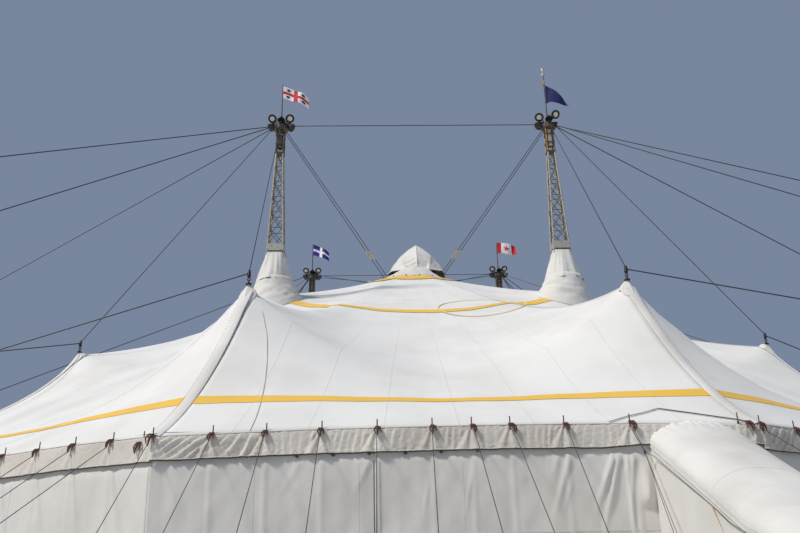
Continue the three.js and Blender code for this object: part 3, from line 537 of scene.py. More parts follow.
def band_strip(name, width, lift, places):
    """A painted band along a closed line of (k, d, a) places, laid just over the canvas."""
    def place(s, t):
        k, d, a = places[round(s * len(places))]
        stretch = (d + (t - 0.5) * width) / d
        return roof_point(k, d * stretch, a * stretch, lift)

    points, faces, _ = grid(len(places), 2, place, loop=True)
    fix_up(make(name, points, faces, YELLOW, "band_canvas", uvs=[(i / 20, 0) for i in range(len(points))]))


def place_at_height(k, share, height):
    """Distance outwards at which the smooth roof has some height, at a share of the sector's half width."""
    near, far = 20.0, EAVE
    for _ in range(30):
        middle = (near + far) / 2
        if roof_height(k, middle, share * middle * REACH) > height:
            near = middle
        else:
            far = middle
    return near


def make_bands():
    lower = []
    for k in range(SIDES):
        for i in range(48):
            share = -1 + 2 * i / 48
            d = place_at_height(k, share, 6.53)
            lower.append((k, d, share * d * REACH))
    band_strip("lower_band", 0.25, 0.012, lower)
    upper = []
    for k in range(SIDES):
        for i in range(24):
            turn = -HALF + 2 * HALF * i / 24
            bearing = abs(degrees(turn) + 30 * k) % 180
            radius = along_line(UPPER_BAND, min(bearing, 180 - bearing))
            upper.append((k, radius * cos(turn), radius * sin(turn)))
    band_strip("upper_band", 0.5, 0.02, upper)
    make_crown_band()
    make_thin_ring()


def make_thin_ring():
    """A thin painted ring on the front of the roof."""
    def place(s, t):
        offset = polar(1.62 + 0.07 * t, 2 * pi * s)
        return roof_point(0, 12.85 - 1.1 * offset.y, 2.15 + offset.x, 0.03)

    points, faces, _ = grid(72, 1, place, loop=True)
    fix_up(make("thin_ring", points, faces, PALE_YELLOW, "band_canvas", uvs=[(0, 0)] * len(points)))


def make_crown_band():
    """The yellow band on the roof round the hood's collar."""
    def place(s, t):
        a = 2 * pi * s
        spot = polar(3.9 - 1.45 * t, a)
        pucker = 0.012 * wander_round(9, a, t * 2)
        spot.z = ground_of_roof(spot.x, spot.y) + 0.035 + pucker
        return spot

    points, faces, uvs = grid(144, 6, place, (15, 0.6), loop=True)
    fix_up(make("crown_band", points, faces, YELLOW, "band_canvas", uvs=uvs))


def ridge_point(k, radius):
    """A point on the ridge between sectors k and k + 1."""
    return roof_point(k, radius * cos(HALF), radius * sin(HALF))


def make_sleeves():
    """Canvas sleeves over the ridge ropes, with lacing along their outer side and a cap at the peak."""
    profile = [(-0.165, -0.02), (-0.15, 0.0), (-0.115, 0.012), (-0.06, 0.022), (0.0, 0.026),
               (0.06, 0.022), (0.115, 0.012), (0.15, 0.0), (0.165, -0.02)]
    for k in range(SIDES):
        peak = PEAKS[ridge_angle(k)]
        across = polar(1, HALF * (2 * k + 1))
        sign = 1 if ridge_point(k, 20).x > 0 else -1

        def place(s, t):
            radius = EAVE_RADIUS - 0.02 - (EAVE_RADIUS - peak[0] - 0.1) * t
            offset, rise = profile[round(s * (len(profile) - 1))]
            wide = 1.0 + 0.25 * max(0.0, (t - 0.9) / 0.1) - 0.15 * t
            base = ridge_point(k, radius)
            side = base + across * offset * wide
            wrinkle = wander(offset * 9, radius * 2.2, k * 3.0) * 0.008
            return Vector((side.x, side.y, base.z + rise + wrinkle - abs(offset) * 0.10 + 0.014))

        make_cloth(f"ridge_sleeve_{two(k)}", grid(len(profile) - 1, 90, place, (0.3, 5)), PLAIN_WHITE,
                   "roof_canvas", f"roof_canvas_{two(k)}")
        lacing = Parts()
        for i in range(56):
            t = 0.02 + 0.9 * i / 56
            s = 0.0 if sign < 0 else 1.0
            aside = across * sign * 0.012
            lift = upward(0.02)
            lacing.tube([place(s, t) + aside + lift, place(s, t + 0.0052) + aside * 1.6 + lift], 0.005, 4)
        lacing.make(f"ridge_lacing_{two(k)}", GUY, "guy_rope")
        make_cap(k, peak)


def make_cap(k, peak):
    """A rounded canvas cap over the top of a ridge."""
    def place(s, t):
        a = 2 * pi * s
        spot = ridge_point(k, peak[0]) + polar(0.27 * sin(t * pi / 2), a)
        pleat = 0.006 * cos(a * 14) * sin(pi * t)
        spot.z = ground_of_roof(spot.x, spot.y) + 0.015 + 0.10 * cos(t * pi / 2) ** 0.8 + pleat
        return spot

    make_cloth(f"ridge_cap_{two(k)}", grid(56, 12, place, (1.7, 0.3), loop=True), PLAIN_WHITE, "roof_canvas",
               f"ridge_sleeve_{two(k)}")


# Eave, with the valance, the walls, the pins of the poles and the guys
def pole_shares(k):
    if k == 0:
        return FRONT_SHARES
    return [-1 + 2 * i / POLE_BAYS for i in range(POLE_BAYS)]


def vault_top(x):
    """Height of the tunnel's vault where it meets the valance, or 0 beside it."""
    inside = 1 - ((x - TUNNEL_X) / (TUNNEL_HALF + 0.02)) ** 2
    return 5.13 + TUNNEL_RISE * sqrt(inside) if inside > 0 else 0.0


def pin_gap(k, x):
    """The way across from the nearest pole's pin to a place on the valance."""
    pins = [share * EAVE_HALF for share in pole_shares(k) + [1]]
    return min((x - pin for pin in pins), key=abs)


def fold(u, start, crest, end):
    """One fold across u: it rises from start to crest and falls away to end."""
    if u <= start or u >= end:
        return 0.0
    return (u - start) / (crest - start) if u < crest else (end - u) / (end - crest)


def run_of_folds(u, seed):
    """Folds side by side, each steep on its left and long on its right, and each of its own depth."""
    index = floor(u)
    depth = 0.45 + 0.55 * abs(wander(index * 3.7, seed, 1.0)) * 2
    return min(1.0, depth) * fold(u - index, 0.0, 0.16, 1.0)


def valance_place(k, s, t):
    """The valance: slanting folds on the left of each side, pleats that open below each pin."""
    x = (2 * s - 1) * EAVE_HALF
    drop = (VALANCE_DROP - (0.026 if k == 0 else 0.0)) * t
    gap = pin_gap(k, x)
    seed = k * 7.0
    calm = 0.3 if k == 11 else 1.0
    left = clamp((-3.9 - x) / 0.7)
    slant = 0.2 + 1.1 * clamp((-4.1 - x) / 1.5)
    along = x + slant * drop
    sway = wander(x * 0.9, drop * 0.8, seed)
    deep = run_of_folds(along / 0.25 + sway * 0.8, seed)
    uneven = clamp(0.35 + 1.6 * wander(x * 0.8, 2.0, seed + 4))
    soft = run_of_folds((x + 0.1 * drop) / 0.17 + sway * 1.4, seed + 9)
    hang = min(1.0, t / 0.25) ** 0.7 * (1 - 0.25 * t)
    folds = (0.088 * deep * left + (0.018 + 0.034 * uneven) * soft * (1 - left)) * hang * calm
    rough = 0.014 if k == 1 else 0.008 + 0.009 * clamp((t - 0.72) / 0.2)
    crumple = rough * wander(x * 16.0, drop * 20.0, seed + 5)
    wide = 0.03 + 0.42 * drop
    u = gap / wide
    pleat = 0.0
    if abs(u) < 1.7:
        depth = 0.075 * (wide / 0.25) ** 0.8 * (0.6 if k == 11 else 1.0)
        pleat = depth * (0.8 * fold(u, -1.6, -0.95, -0.3) + fold(u, -0.35, 0.3, 1.3))
        folds *= 0.3
    bearing = atan2(gap, drop + 0.04)
    away = hypot(gap, drop + 0.04)
    star = cos(bearing * 13 + k) * 0.010 * exp(-away / 0.22) * min(1.0, away / 0.1)
    out = 0.006 + VALANCE_FLARE * 0.3 * t + folds + pleat * (1 - 0.3 * t) + star + crumple
    lift = 0.0
    if k == 0:
        # Beyond the tunnel the strip turns away to the right, and beside it the foot is drawn up
        out += t * (0.10 - 0.28 * (x - 6.05) if x > 6.05 else 0.0)
        lift = 0.075 * t * clamp(x - 3.1)
    out += t * 0.05 * max(0.0, 1 - (x + 6.6) / 0.8) * -1 if k == 1 else 0.0
    eave = eave_height(k, x)
    z = eave - drop + lift
    z += wander(x * 2.3, 4.0, k) * 0.010 * t
    d = EAVE + max(-0.045 * t, out)
    if k == 0:
        top = vault_top(x)
        if top > z:
            z = min(eave, top - 0.04)
            d = EAVE + 0.02
    return sector_point(k, d, x * d / EAVE, z)


def make_valance():
    for k in range(SIDES):
        columns, rows = by_side(k, (560, 20), (400, 16), (160, 6))
        net = grid(columns, rows, lambda s, t: valance_place(k, s, t), (13.2, 0.6))
        make_cloth(f"valance_{two(k)}", net, VALANCE, "valance_canvas", f"roof_canvas_{two(k)}",
                   away=(0, 0, 5))
        hem = Parts()
        outward = sector_point(k, 1, 0, 0)
        path = []
        for s in steps(columns):
            p = valance_place(k, s, 1.0)
            if k == 0 and vault_top(sector_across(k, p)) > EAVE_Z - VALANCE_DROP:
                add_hem(hem, path, outward)
                path = []
                continue
            path.append(p)
        add_hem(hem, path, outward)
        # Lugs under the foot of the front
        for i in range(6 if k == 0 else 0):
            x = -3.49 + 0.77 * i
            p = valance_place(k, (x / EAVE_HALF + 1) / 2, 1.0)
            hem.box(p + upward(-0.04), (0.085, 0.025, 0.03))
            hem.box(p + upward(-0.062), (0.045, 0.02, 0.03))
        hem.make(f"valance_hem_{two(k)}", [DARK_HEM_AND_SHADE, HEM_ROLL], "dark_fittings")


def add_hem(hem, path, outward):
    """A pale rolled edge over a near-black line, which is painted shade under the roll, along a stretch of
    the valance's foot.
    """
    if len(path) < 3:
        return
    hem.material = HEM_ROLL
    hem.tube([p + outward * 0.004 + upward(0.008) for p in path], 0.013, 5)
    hem.material = DARK_HEM_AND_SHADE
    hem.tube([p + outward * 0.002 + upward(-0.017) for p in path], 0.013, 5)


def sector_across(k, p):
    """How far across side k a point lies, from the side's middle."""
    return p.dot(polar(1, 2 * HALF * k))


def crease(x, z, top, foot, width, strength):
    """A fold of the wall from top to foot, both (x, z): steep on its left and long on its right."""
    along = Vector((foot[0] - top[0], foot[1] - top[1]))
    length = along.length
    share = ((x - top[0]) * along.x + (z - top[1]) * along.y) / length ** 2
    if share <= -0.15 or share >= 1.0:
        return 0.0
    across = -((x - top[0]) * along.y - (z - top[1]) * along.x) / length
    fade = min(1.0, (share + 0.15) / 0.2) * min(1.0, (1 - share) / 0.5)
    return strength * fade * fold(across / width, -0.4, 0.0, 1.0)


# Folds of the front wall, as top, foot, width and depth
CREASES = [((2.30, 4.76), (1.88, 3.55), 0.12, 0.042), ((2.09, 4.84), (1.92, 4.42), 0.09, 0.028),
           ((2.30, 4.23), (2.09, 3.7), 0.07, 0.022), ((0.19, 4.39), (0.02, 3.6), 0.07, 0.020),
           ((-0.73, 4.21), (-0.85, 3.6), 0.07, 0.018), ((-3.3, 5.0), (-4.0, 3.9), 0.10, 0.02),
           ((-1.9, 4.9), (-2.3, 4.1), 0.09, 0.03), ((3.36, 5.05), (2.72, 3.6), 0.12, 0.07),
           ((3.46, 5.1), (2.84, 3.1), 0.12, 0.06), ((3.56, 5.1), (3.50, 3.9), 0.08, 0.05),
           ((3.53, 4.1), (3.54, 3.0), 0.08, 0.05), ((3.68, 5.1), (3.55, 3.8), 0.10, 0.055)]


def wall_place(k, x, z, low, high):
    """The wall's cloth: it hangs from close behind the valance, with the poles showing through."""
    half = WALL * REACH
    seed = k * 11.0
    poles = [share * half for share in pole_shares(k)]
    bulge = sum(exp(-((x - p) / 0.06) ** 2) for p in poles) * 0.014
    slack = wander(x * 0.9, z * 0.3, seed) * 0.03
    upright = wander(x * 3.4, z * 0.35, seed + 2) * 0.012
    diagonal = wander(x * 2.2 + z * 1.3, z * 0.5 - x * 0.3, seed + 4) * 0.018
    other = wander(x * 2.6 - z * 1.7, z * 0.4, seed + 6) * 0.010
    fine = wander(x * 7 + z * 5, z * 3, seed + 8) * 0.004
    out = bulge + slack + upright + diagonal + other + fine
    top = EAVE_Z - 0.02
    if k == 0:
        for place in CREASES:
            out += crease(x, z, *place)
        if x > 3.72:
            # A slack pocket of cloth that hangs beside the entrance
            fill = clamp((4.7 - z) / 0.6) * clamp((z - 3.78) / 0.10)
            out += 0.13 * exp(-((x - 3.90) / 0.12) ** 2) * fill
    last = 0.06 if k == 0 and high < half - 0.1 else 0.3
    fade = clamp(min((x - low) / 0.3, (high - x) / last))
    foot = 0.05 * max(0.0, 1 - z / 0.35) ** 2
    lean = clamp((z - 1.5) / 3.2)
    lean = 0.125 * lean * lean * (3 - 2 * lean)
    slacken = min(1.0, 0.15 + (top - z) / 0.6)
    d = WALL + max(-0.02, min(out, 0.17)) * fade * slacken + foot + lean
    # Near its top the wall stays behind the valance
    d = min(d, EAVE - 0.05 + 0.8 * max(0.0, 4.9 - z))
    z += (eave_height(k, x) - EAVE_Z) * clamp((z - 3.5) / 1.9)
    return sector_point(k, d, x * d / WALL, z)


def make_walls():
    door = (TUNNEL_X - TUNNEL_HALF + 0.02, TUNNEL_X + TUNNEL_HALF - 0.02)
    top = EAVE_Z - 0.02
    half = WALL * REACH
    stretches = [(0, -half, door[0], "wall_01_left_of_entrance"),
                 (0, door[1], half, "wall_01_right_of_entrance")]
    stretches += [(k, -half, half, f"wall_{two(k)}") for k in range(1, SIDES)]
    for k, low, high, node in stretches:
        per_metre, rows = by_side(k, (28, 54), (18, 40), (6, 16))
        columns = max(8, round((high - low) * per_metre))

        def place(s, t):
            return wall_place(k, low + (high - low) * s, top * t, low, high)

        net = grid(columns, rows, place, (high - low, 5.4))
        make_cloth(node.replace("wall", "wall_cloth"), net, WALL_CLOTH, "wall_canvas",
                   f"perimeter_poles_{two(k)}", away=(0, 0, 2.6), stands_for=node)
        seams = Parts()
        line = round((high - low) * 6)
        seams.tube([place(s, 3.3 / top) for s in steps(line)], 0.008, 5)
        for i in range(1, int((high - low) / 2.2)):
            s = i * 2.2 / (high - low)
            seams.tube([place(s, t) for t in steps(30)], 0.004, 5)
        if k == 0 and low < 0:
            # The near-black line at -1.85 is painted shadow at the edge of a flap, beside two pale seam
            # lines
            for material, x in ((DARK_HEM_AND_SHADE, -1.85), (WALL_SEAM, -1.80), (WALL_SEAM, -1.74)):
                seams.material = material
                seams.tube([wall_place(0, x, top * t, low, high) for t in steps(40)], 0.010, 5)
        seams.make(node.replace("wall", "wall_seams"), [WALL_SEAM, DARK_HEM_AND_SHADE], "wall_canvas")


def make_eave_rope(rope):
    """Cord along the eave, and webbing that rises over the roof above the entrance."""
    rope.material = EAVE_CORD_AND_SHADOW
    for k in range(SIDES):
        way = (GABLE[0][0] if k == 0 else EAVE_HALF) + EAVE_HALF
        rope.tube([eave_place(k, 0.008, way * i - EAVE_HALF, 0.006) for i in steps(24)], 0.006, 6)
    rope.tube([eave_place(0, 0.008, 6.1 + (EAVE_HALF - 6.1) * i, 0.006) for i in steps(4)], 0.006, 6)
    gable = [roof_point(0, d, x, 0.032) for x, d in GABLE]
    rope.tube(gable[:4], 0.014, 8)
    rope.material = DARK_WEBBING
    rope.tube(gable[3:], 0.014, 8)


def make_guy(rope, fittings, k, share, raised):
    """A guy from the eave to a steel stake with a rope eye; the raised poles have only the stake."""
    across = share * EAVE_HALF
    stake = across + (STAKE_SHIFTS.get(share, 0.0) if k == 0 else 0.0)
    foot = sector_point(k, STAKE, stake, 0.12)
    if not raised:
        head = eave_place(k, 0.085, across - 0.05 * strap_side(k, across), -0.13)
        rope.material = GUY
        rope.tube([head, foot], 0.0085, 6)
    top = sector_point(k, STAKE, stake, 0.3)
    ground = sector_point(k, STAKE - 0.06, stake, 0.0)
    bar = [(0.02, 0.0), (0.02, 0.27), (0.032, 0.275), (0.03, 0.3)]
    fittings.turned(ground, bar, 8, top - ground)
    fittings.ring(foot, 0.035, 0.01, (1, 0, 0), 10, 5)


def make_guys():
    rope = Parts()
    fittings = Parts()
    straps = Parts()
    make_eave_rope(rope)
    for k in range(SIDES):
        for share in pole_shares(k):
            across = share * EAVE_HALF
            raised = 0.03 if k == 0 and across > GABLE[0][0] else 0.0
            make_guy(rope, fittings, k, share, raised)
            make_pin(fittings, k, across, raised)
            make_strap(straps, k, across, raised, 1.35 if share == -1 else random.uniform(0.9, 1.15))
    make_pin(fittings, 0, 6.12, 0.06)
    make_strap(straps, 0, 6.30, 0.03, 1.2)
    make_pin(fittings, 11, 6.32, -0.06)
    make_strap(straps, 11, 6.28, -0.14, 1.3)
    # A thin grey line laid on the canvas left of the middle: a painted shadow of the cable from a peak's
    # hanger to its anchor
    rope.material = EAVE_CORD_AND_SHADOW
    rope.tube([Vector((x, y, ground_of_roof(x, y) + 0.012)) for x, y in PAINTED_SHADOW_LINE], 0.006, 6)
    ropes = rope.make("eave_rope", [GUY, EAVE_CORD_AND_SHADOW, DARK_WEBBING], "guy_rope")
    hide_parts("eave_rope_and_guys")
    fittings.make("pins_and_stakes", PIN_STEEL, "dark_fittings")
    straps.make("eave_straps", [STRAP, PIN_STEEL], "strap_webbing")


# Plan of the painted cable shadow on the roof, as x and y
PAINTED_SHADOW_LINE = [(-5.25, -20.1), (-4.95, -20.7), (-4.72, -21.25), (-4.60, -21.9), (-4.53, -22.6), (-4.50, -23.3),
             (-4.50, -24.0), (-4.53, -24.6)]


def eave_place(k, out, across, rise):
    """A place beside the roof's edge: out from it, across the side and above it."""
    return sector_point(k, EAVE + out, across, eave_height(k, across) + rise)


def make_pin(fittings, k, across, raised):
    """A pole's pin above the eave."""
    pin = eave_place(k, -0.03, across, raised - 0.05)
    fittings.turned(pin, [(0.028, 0.0), (0.026, 0.06), (0.015, 0.07), (0.014, 0.25), (0.009, 0.26)], 8)


AT_PIN = 0.2


def strap_side(k, across):
    """Where a strap hangs beside its pin: 1 to the left, AT_PIN under it, -1 to the right."""
    if k != 0 or across < -2.5:
        return 1
    return AT_PIN if across < 0 else -1


# Way and thickness of a strap's loops; each place is out, across and up from the pin's foot
STRAP_LOOPS = [
    ([(-0.02, 0.0, 0.04), (0.05, -0.05, 0.03), (0.075, -0.10, -0.04), (0.085, -0.085, -0.13)], 0.011),
    ([(-0.02, 0.015, 0.04), (0.05, -0.015, 0.02), (0.08, -0.04, -0.06), (0.09, -0.065, -0.16)], 0.014),
    ([(-0.02, 0.02, 0.03), (0.05, 0.035, 0.01), (0.08, 0.03, -0.05), (0.085, 0.035, -0.11)], 0.010),
    ([(0.06, -0.085, 0.0), (0.085, -0.04, -0.03), (0.08, 0.025, -0.01)], 0.012),
]


def make_strap(straps, k, across, raised, size):
    """Webbing looped over the eave beside a pole's pin, with a buckle and loose ends."""
    turn = strap_side(k, across)
    lean = random.uniform(-0.25, 0.15)

    def spot(out, x, z):
        aside = 0.03 + x if turn == AT_PIN else x * turn
        return eave_place(k, out, across + aside * size + lean * z, raised + z * size)

    straps.material = STRAP
    for path, width in STRAP_LOOPS:
        straps.tube([spot(*p) for p in path], [width * 1.6] * (len(path) - 1) + [width], 6)
    straps.material = PIN_STEEL
    straps.box(spot(0.09, -0.05, -0.075), (0.035, 0.03, 0.05), Matrix.Rotation(0.4 + lean, 3, "Y"))
    straps.box(spot(0.085, -0.015, 0.0), (0.05, 0.03, 0.03), Matrix.Rotation(lean - 0.3, 3, "Y"))


# Masts
def leg_line(z):
    """How far a mast's legs stand from its middle, in x and y."""
    t = max(0.0, (z - COLLAR_Z) / (LATTICE_TOP - COLLAR_Z))
    return (MAST_WIDTH + t * (MAST_TOP_WIDTH - MAST_WIDTH)) / 2 - 0.035


def lamp(parts, centre, aim, size, lit):
    """A round floodlight with a black body, and with its pale glass where it looks to the front."""
    aim = Vector(aim).normalized()
    parts.material = BLACK
    body = [(0.25, -1.0), (0.55, -0.85), (0.62, -0.55), (0.95, -0.1), (1.0, 0.1), (1.06, 0.16), (1.06, 0.26),
            (0.94, 0.27)]
    parts.turned(centre, [(r * size, a * size) for r, a in body], 18, aim)
    if lit:
        parts.material = LAMP_GLASS
        glass = [(0.60, 0.272), (0.58, 0.30), (0.40, 0.33), (0.1, 0.34)]
        parts.turned(centre, [(r * size, a * size) for r, a in glass], 18, aim)
    parts.material = BLACK


def make_lattice(parts, at):
    """Legs and bars of a mast: single slanting bars below the collar and crossed ones above it."""
    parts.material = LEG_PAINT
    for i in range(4):
        parts.tube([at(i, 0.03), at(i, COLLAR_Z), at(i, LATTICE_TOP)], 0.037, 10)
    low = [0.2 + (COLLAR_Z - 0.2) * j for j in steps(20)]
    high = [COLLAR_Z + 0.42 + (LATTICE_TOP - COLLAR_Z - 0.5) * j for j in steps(6)]
    for levels, crossed in ((low, False), (high, True)):
        parts.material = MAST_DARK if crossed else LEG_PAINT
        for j, (z, above) in enumerate(zip(levels, levels[1:])):
            for i in range(4):
                a, b = at(i, z), at(i + 1, above)
                c, d = at(i + 1, z), at(i, above)
                parts.tube([a, c], 0.016, 6)
                if crossed or (i + j) % 2 == 0:
                    parts.tube([a, b], 0.015, 6)
                if crossed or (i + j) % 2 == 1:
                    parts.tube([c, d], 0.015, 6)


def make_mast_band(parts, base, at):
    """Solid band at a mast's collar, over a black strap."""
    parts.material = PALE_STEEL
    wide = MAST_WIDTH - 0.05
    out = MAST_WIDTH / 2 - 0.012
    for x, y in ((0, -out), (out, 0), (0, out), (-out, 0)):
        size = (0.02, wide, 0.34) if x else (wide, 0.02, 0.34)
        parts.box(base + Vector((x, y, COLLAR_Z + 0.24)), size)
    parts.material = BLACK
    for i in range(4):
        parts.tube([at(i, COLLAR_Z + 0.04), at(i + 1, COLLAR_Z + 0.04)], 0.05, 8)


def make_base_plate(parts, base):
    """Plate on the ground, with a block at each leg."""
    parts.material = PALE_STEEL
    parts.box(base + upward(0.02), (1.1, 1.1, 0.04))
    for cx, cy in CORNERS:
        parts.box(base + Vector((cx * 0.42, cy * 0.42, 0.09)), (0.05, 0.05, 0.14))


def make_masts():
    paints = [LEG_PAINT, BLACK, PALE_STEEL, LAMP_GLASS, OCHRE, MAST_DARK]
    for (sx, sy), name in MASTS:
        base = Vector((sx * MAST_X, sy * MAST_Y, 0))

        def at(i, z):
            cx, cy = CORNERS[i % 4]
            half = leg_line(z)
            return base + Vector((cx * half, cy * half, z))

        parts = Parts()
        make_lattice(parts, at)
        make_mast_band(parts, base, at)
        make_base_plate(parts, base)
        make_head(parts, base, name)
        make_lamps(parts, base, name)
        make_flagpole(parts, base, name)
        mast = parts.make(f"lattice_{name}", paints, "mast_steel")
        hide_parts(f"mast_{name}")


def make_head(parts, base, name):
    """The open box at the top of a mast, with its sheaves and shackles."""
    head = MAST_TOP_WIDTH / 2
    low = LATTICE_TOP - 0.12
    for cx, cy in CORNERS:
        parts.material = OCHRE if name == "front_right" and cx < 0 else MAST_DARK
        post = base + Vector((cx, cy, 0)) * (head - 0.02)
        parts.tube([post + upward(low), post + upward(HEAD_TOP)], 0.035, 8)
    parts.material = MAST_DARK
    for z in (low, LATTICE_TOP + 0.35, LATTICE_TOP + 0.8):
        parts.box(base + upward(z), (2 * head + 0.05, 2 * head + 0.05, 0.06))
    parts.material = PALE_STEEL if name == "front_right" else MAST_DARK
    parts.box(base + upward(22.1), (0.15, 2 * head - 0.02, 0.85))
    parts.material = MAST_DARK
    parts.box(base + upward(22.1), (2 * head - 0.06, 0.12, 0.85))
    parts.turned(base + upward(22.62), [(0.20, 0.0), (0.34, 0.02), (0.34, 0.20), (0.20, 0.22)], 16)
    parts.material = BLACK
    for i in range(12):
        a = i * pi / 6
        parts.ring(base + polar(0.3, a, 22.73), 0.06, 0.016, (-sin(a), cos(a), 0), 10, 5)
    parts.box(base + upward(22.95), (0.9, 0.12, 0.08))
    parts.box(base + upward(22.86), (0.14, 0.8, 0.08))


# Each lamp's place beside its mast, where it looks, its size and whether its glass shows
LAMPS = [((-0.39, -0.10, 23.22), (-0.30, -0.75, -0.75), 0.20, True),
         ((0.39, -0.10, 23.22), (0.30, -0.75, -0.75), 0.20, True),
         ((-0.45, -0.05, 22.78), (-0.7, -0.3, -0.7), 0.19, False),
         ((0.47, -0.05, 22.76), (0.75, -0.3, -0.7), 0.19, False),
         ((0.02, -0.25, 23.06), (0.0, -0.3, -0.9), 0.17, False),
         ((0.10, 0.30, 23.12), (0.2, 0.9, -0.5), 0.19, True)]
# The front right mast has two of them at other places
OTHER_LAMPS = {1: ((0.38, -0.05, 23.40), (0.25, -0.8, -0.6), 0.20, True),
               3: ((0.30, 0.12, 22.85), (0.75, 0.5, -0.4), 0.17, False)}


def make_lamps(parts, base, name):
    for i, usual in enumerate(LAMPS):
        spot, aim, size, lit = OTHER_LAMPS.get(i, usual) if name == "front_right" else usual
        x, y, _ = spot
        lamp(parts, base + Vector(spot), aim, size, lit)
        parts.tube([base + Vector((x * 0.2, y * 0.2, HEAD_TOP)), base + Vector(spot)], 0.022, 6)


def make_flagpole(parts, base, name):
    """The pole over a mast's head; the front right one is taller and carries a truck and a clamp."""
    tall = name == "front_right"
    top = 26.05 if tall else 25.2
    parts.material = MAST_DARK
    parts.tube([base + upward(z) for z in (HEAD_TOP, 24.2, top - 0.01)], [0.035, 0.028, 0.018], 8)
    if tall:
        parts.material = PALE_STEEL
        truck = [(0.02, 0), (0.10, 0.04), (0.10, 0.10), (0.04, 0.14), (0.04, 0.24), (0.08, 0.28),
                 (0.08, 0.44), (0.02, 0.48)]
        parts.turned(base + upward(25.55), truck, 12)
        parts.box(base + Vector((0.08, 0, 25.6)), (0.20, 0.05, 0.06))
        parts.material = OCHRE
        parts.turned(base + upward(25.1), [(0.03, 0), (0.045, 0.02), (0.045, 0.2), (0.03, 0.22)], 8)


def cone_radius(a, t):
    """Plan radius of a mast's canvas sleeve: square at the collar (t = 0), round at its foot (t = 1)."""
    half = MAST_WIDTH / 2 + 0.012
    square = min(half / max(abs(cos(a)), abs(sin(a))), half * 1.25)
    return square + (1.0 - half) * t ** 1.15 + (half * 1.15 - square) * min(1.0, t * 2.5)


def make_cones():
    for (sx, sy), name in MASTS:
        base = Vector((sx * MAST_X, sy * MAST_Y, 0))
        seed = sx * 3.0 + sy * 7.0
        lap = 14.95

        def upper(s, t):
            a = 2 * pi * s
            tall = (COLLAR_Z + 0.03) + (lap - COLLAR_Z - 0.03) * t
            u = (COLLAR_Z - tall) / (COLLAR_Z - 13.9)
            slack = wander_round(2.4, a, seed + tall * 0.25) * 0.11 * t
            sharp = wander_round(4.5, a, seed + 9 + tall * 0.35)
            sharp = abs(sharp) * 0.10 * min(1, t * 2)
            radius = cone_radius(a, max(0.0, u)) + slack + sharp + 0.02 * t
            sag = 0.10 * wander_round(1.3, a, seed + 20) * t
            return base + polar(radius, a, tall + sag)

        def lower(s, t):
            a = 2 * pi * s
            radius = cone_radius(a, 0.62) + 0.42 * t - 0.02
            spot = base + polar(radius, a)
            top = lap + 0.2
            tall = top + (ground_of_roof(spot.x, spot.y) + 0.01 - top) * t ** 0.8
            rough = wander(a * 2.0, t * 7, seed + 3) * 0.06
            rough += wander(a * 5, t * 15, seed + 5) * 0.03
            radius += rough * sin(pi * min(1.0, t * 1.1)) if t < 0.9 else 0.0
            return base + polar(radius, a, tall)

        make_cloth(f"mast_sleeve_{name}", grid(84, 24, upper, (6, 2), loop=True), PLAIN_WHITE, "roof_canvas",
                   f"lattice_{name}", away=base + upward(15),
                   stands_for=f"mast_cone_{name}")
        make_cloth(f"mast_boot_{name}", grid(84, 20, lower, (6, 1), loop=True), PLAIN_WHITE, "roof_canvas",
                   "roof_canvas_01", away=base + upward(14))
        trim = Parts()
        # The dark ring along the sleeve's lower edge is painted shade in its lap over the boot
        trim.tube([upper(i / 64, 1.0) + upward(-0.005) for i in range(64)], 0.010, 5, closed=True)
        trim.tube([upper(i / 64, 0.0) for i in range(64)], 0.022, 6, closed=True)
        trim.make(f"mast_sleeve_trim_{name}", DARK_HEM_AND_SHADE, "dark_fittings")


def ground_of_roof(x, y):
    """Height of the roof's canvas over a place in plan."""
    turn = atan2(x, -y)
    k = round(turn / (2 * HALF)) % SIDES
    own = turn - round(turn / (2 * HALF)) * 2 * HALF
    radius = hypot(x, y)
    return roof_point(k, radius * cos(own), radius * sin(own)).z


# Crown and hood
# Half width of the hood by the share of its height
HOOD_WIDTH = [(0.0, 1.57), (0.12, 1.46), (0.39, 1.30), (0.48, 1.16), (0.70, 0.80), (0.86, 0.45), (1.0, 0.05)]
HOOD_FOOT = 18.66
HOOD_HEIGHT = 2.19


def hood_corners(t):
    """Corners of the hood's section: front, edge of the front facets, two at the wing, and so on round."""
    wide = along_line(HOOD_WIDTH, t)
    size = wide / HOOD_WIDTH[0][1]
    open_out = min(1.0, t / 0.62)
    edge_x = min(0.60 + 0.19 * open_out, 0.84 * wide)
    edge_y = min(1.42 - 0.9 * open_out, 0.92 * wide) if open_out < 1 else 0.55 * wide
    front = 1.5 * size
    wing = 0.35 * size
    quarter = [(edge_x, -edge_y), (wide, -wing)]
    right = [(0.0, -front)] + quarter + [(x, -y) for x, y in reversed(quarter)]
    return right + [(-x, -y) for x, y in right]


def rim_rise(f):
    """How far the hood's rim is drawn up at a place round it, over its open sides."""
    quarter = f % 5
    quarter = min(quarter, 5 - quarter)
    return along_line([(0.72, 0.0), (1.0, 0.20), (1.8, 0.46), (2.0, 0.38), (2.5, 0.38)], quarter)


def hood_place(s, t):
    corners = hood_corners(t)
    f = s * len(corners)
    i = int(f) % len(corners)
    (x0, y0), (x1, y1) = corners[i], corners[(i + 1) % len(corners)]
    share = f - int(f)
    x = x0 + (x1 - x0) * share
    y = y0 + (y1 - y0) * share
    out = Vector((x, y)).normalized()
    # Chevron wrinkles on the left of the front, plainer cloth elsewhere
    left = 1.0 if f > 8.8 else 0.3
    chevron = abs(((t * 7 + abs(x) * 1.2) % 1.0) - 0.5) * 0.14 * left * sin(pi * min(1.0, t * 1.5))
    wrinkle = wander(x * 3, y * 3, t * 7) * 0.04 * (1 - t)
    x += out.x * (wrinkle - chevron) + 0.30
    y += out.y * (wrinkle - chevron)
    rise = rim_rise(f) * max(0.0, 1 - t / 0.4)
    return Vector((x, y, HOOD_FOOT + HOOD_HEIGHT * t + rise))


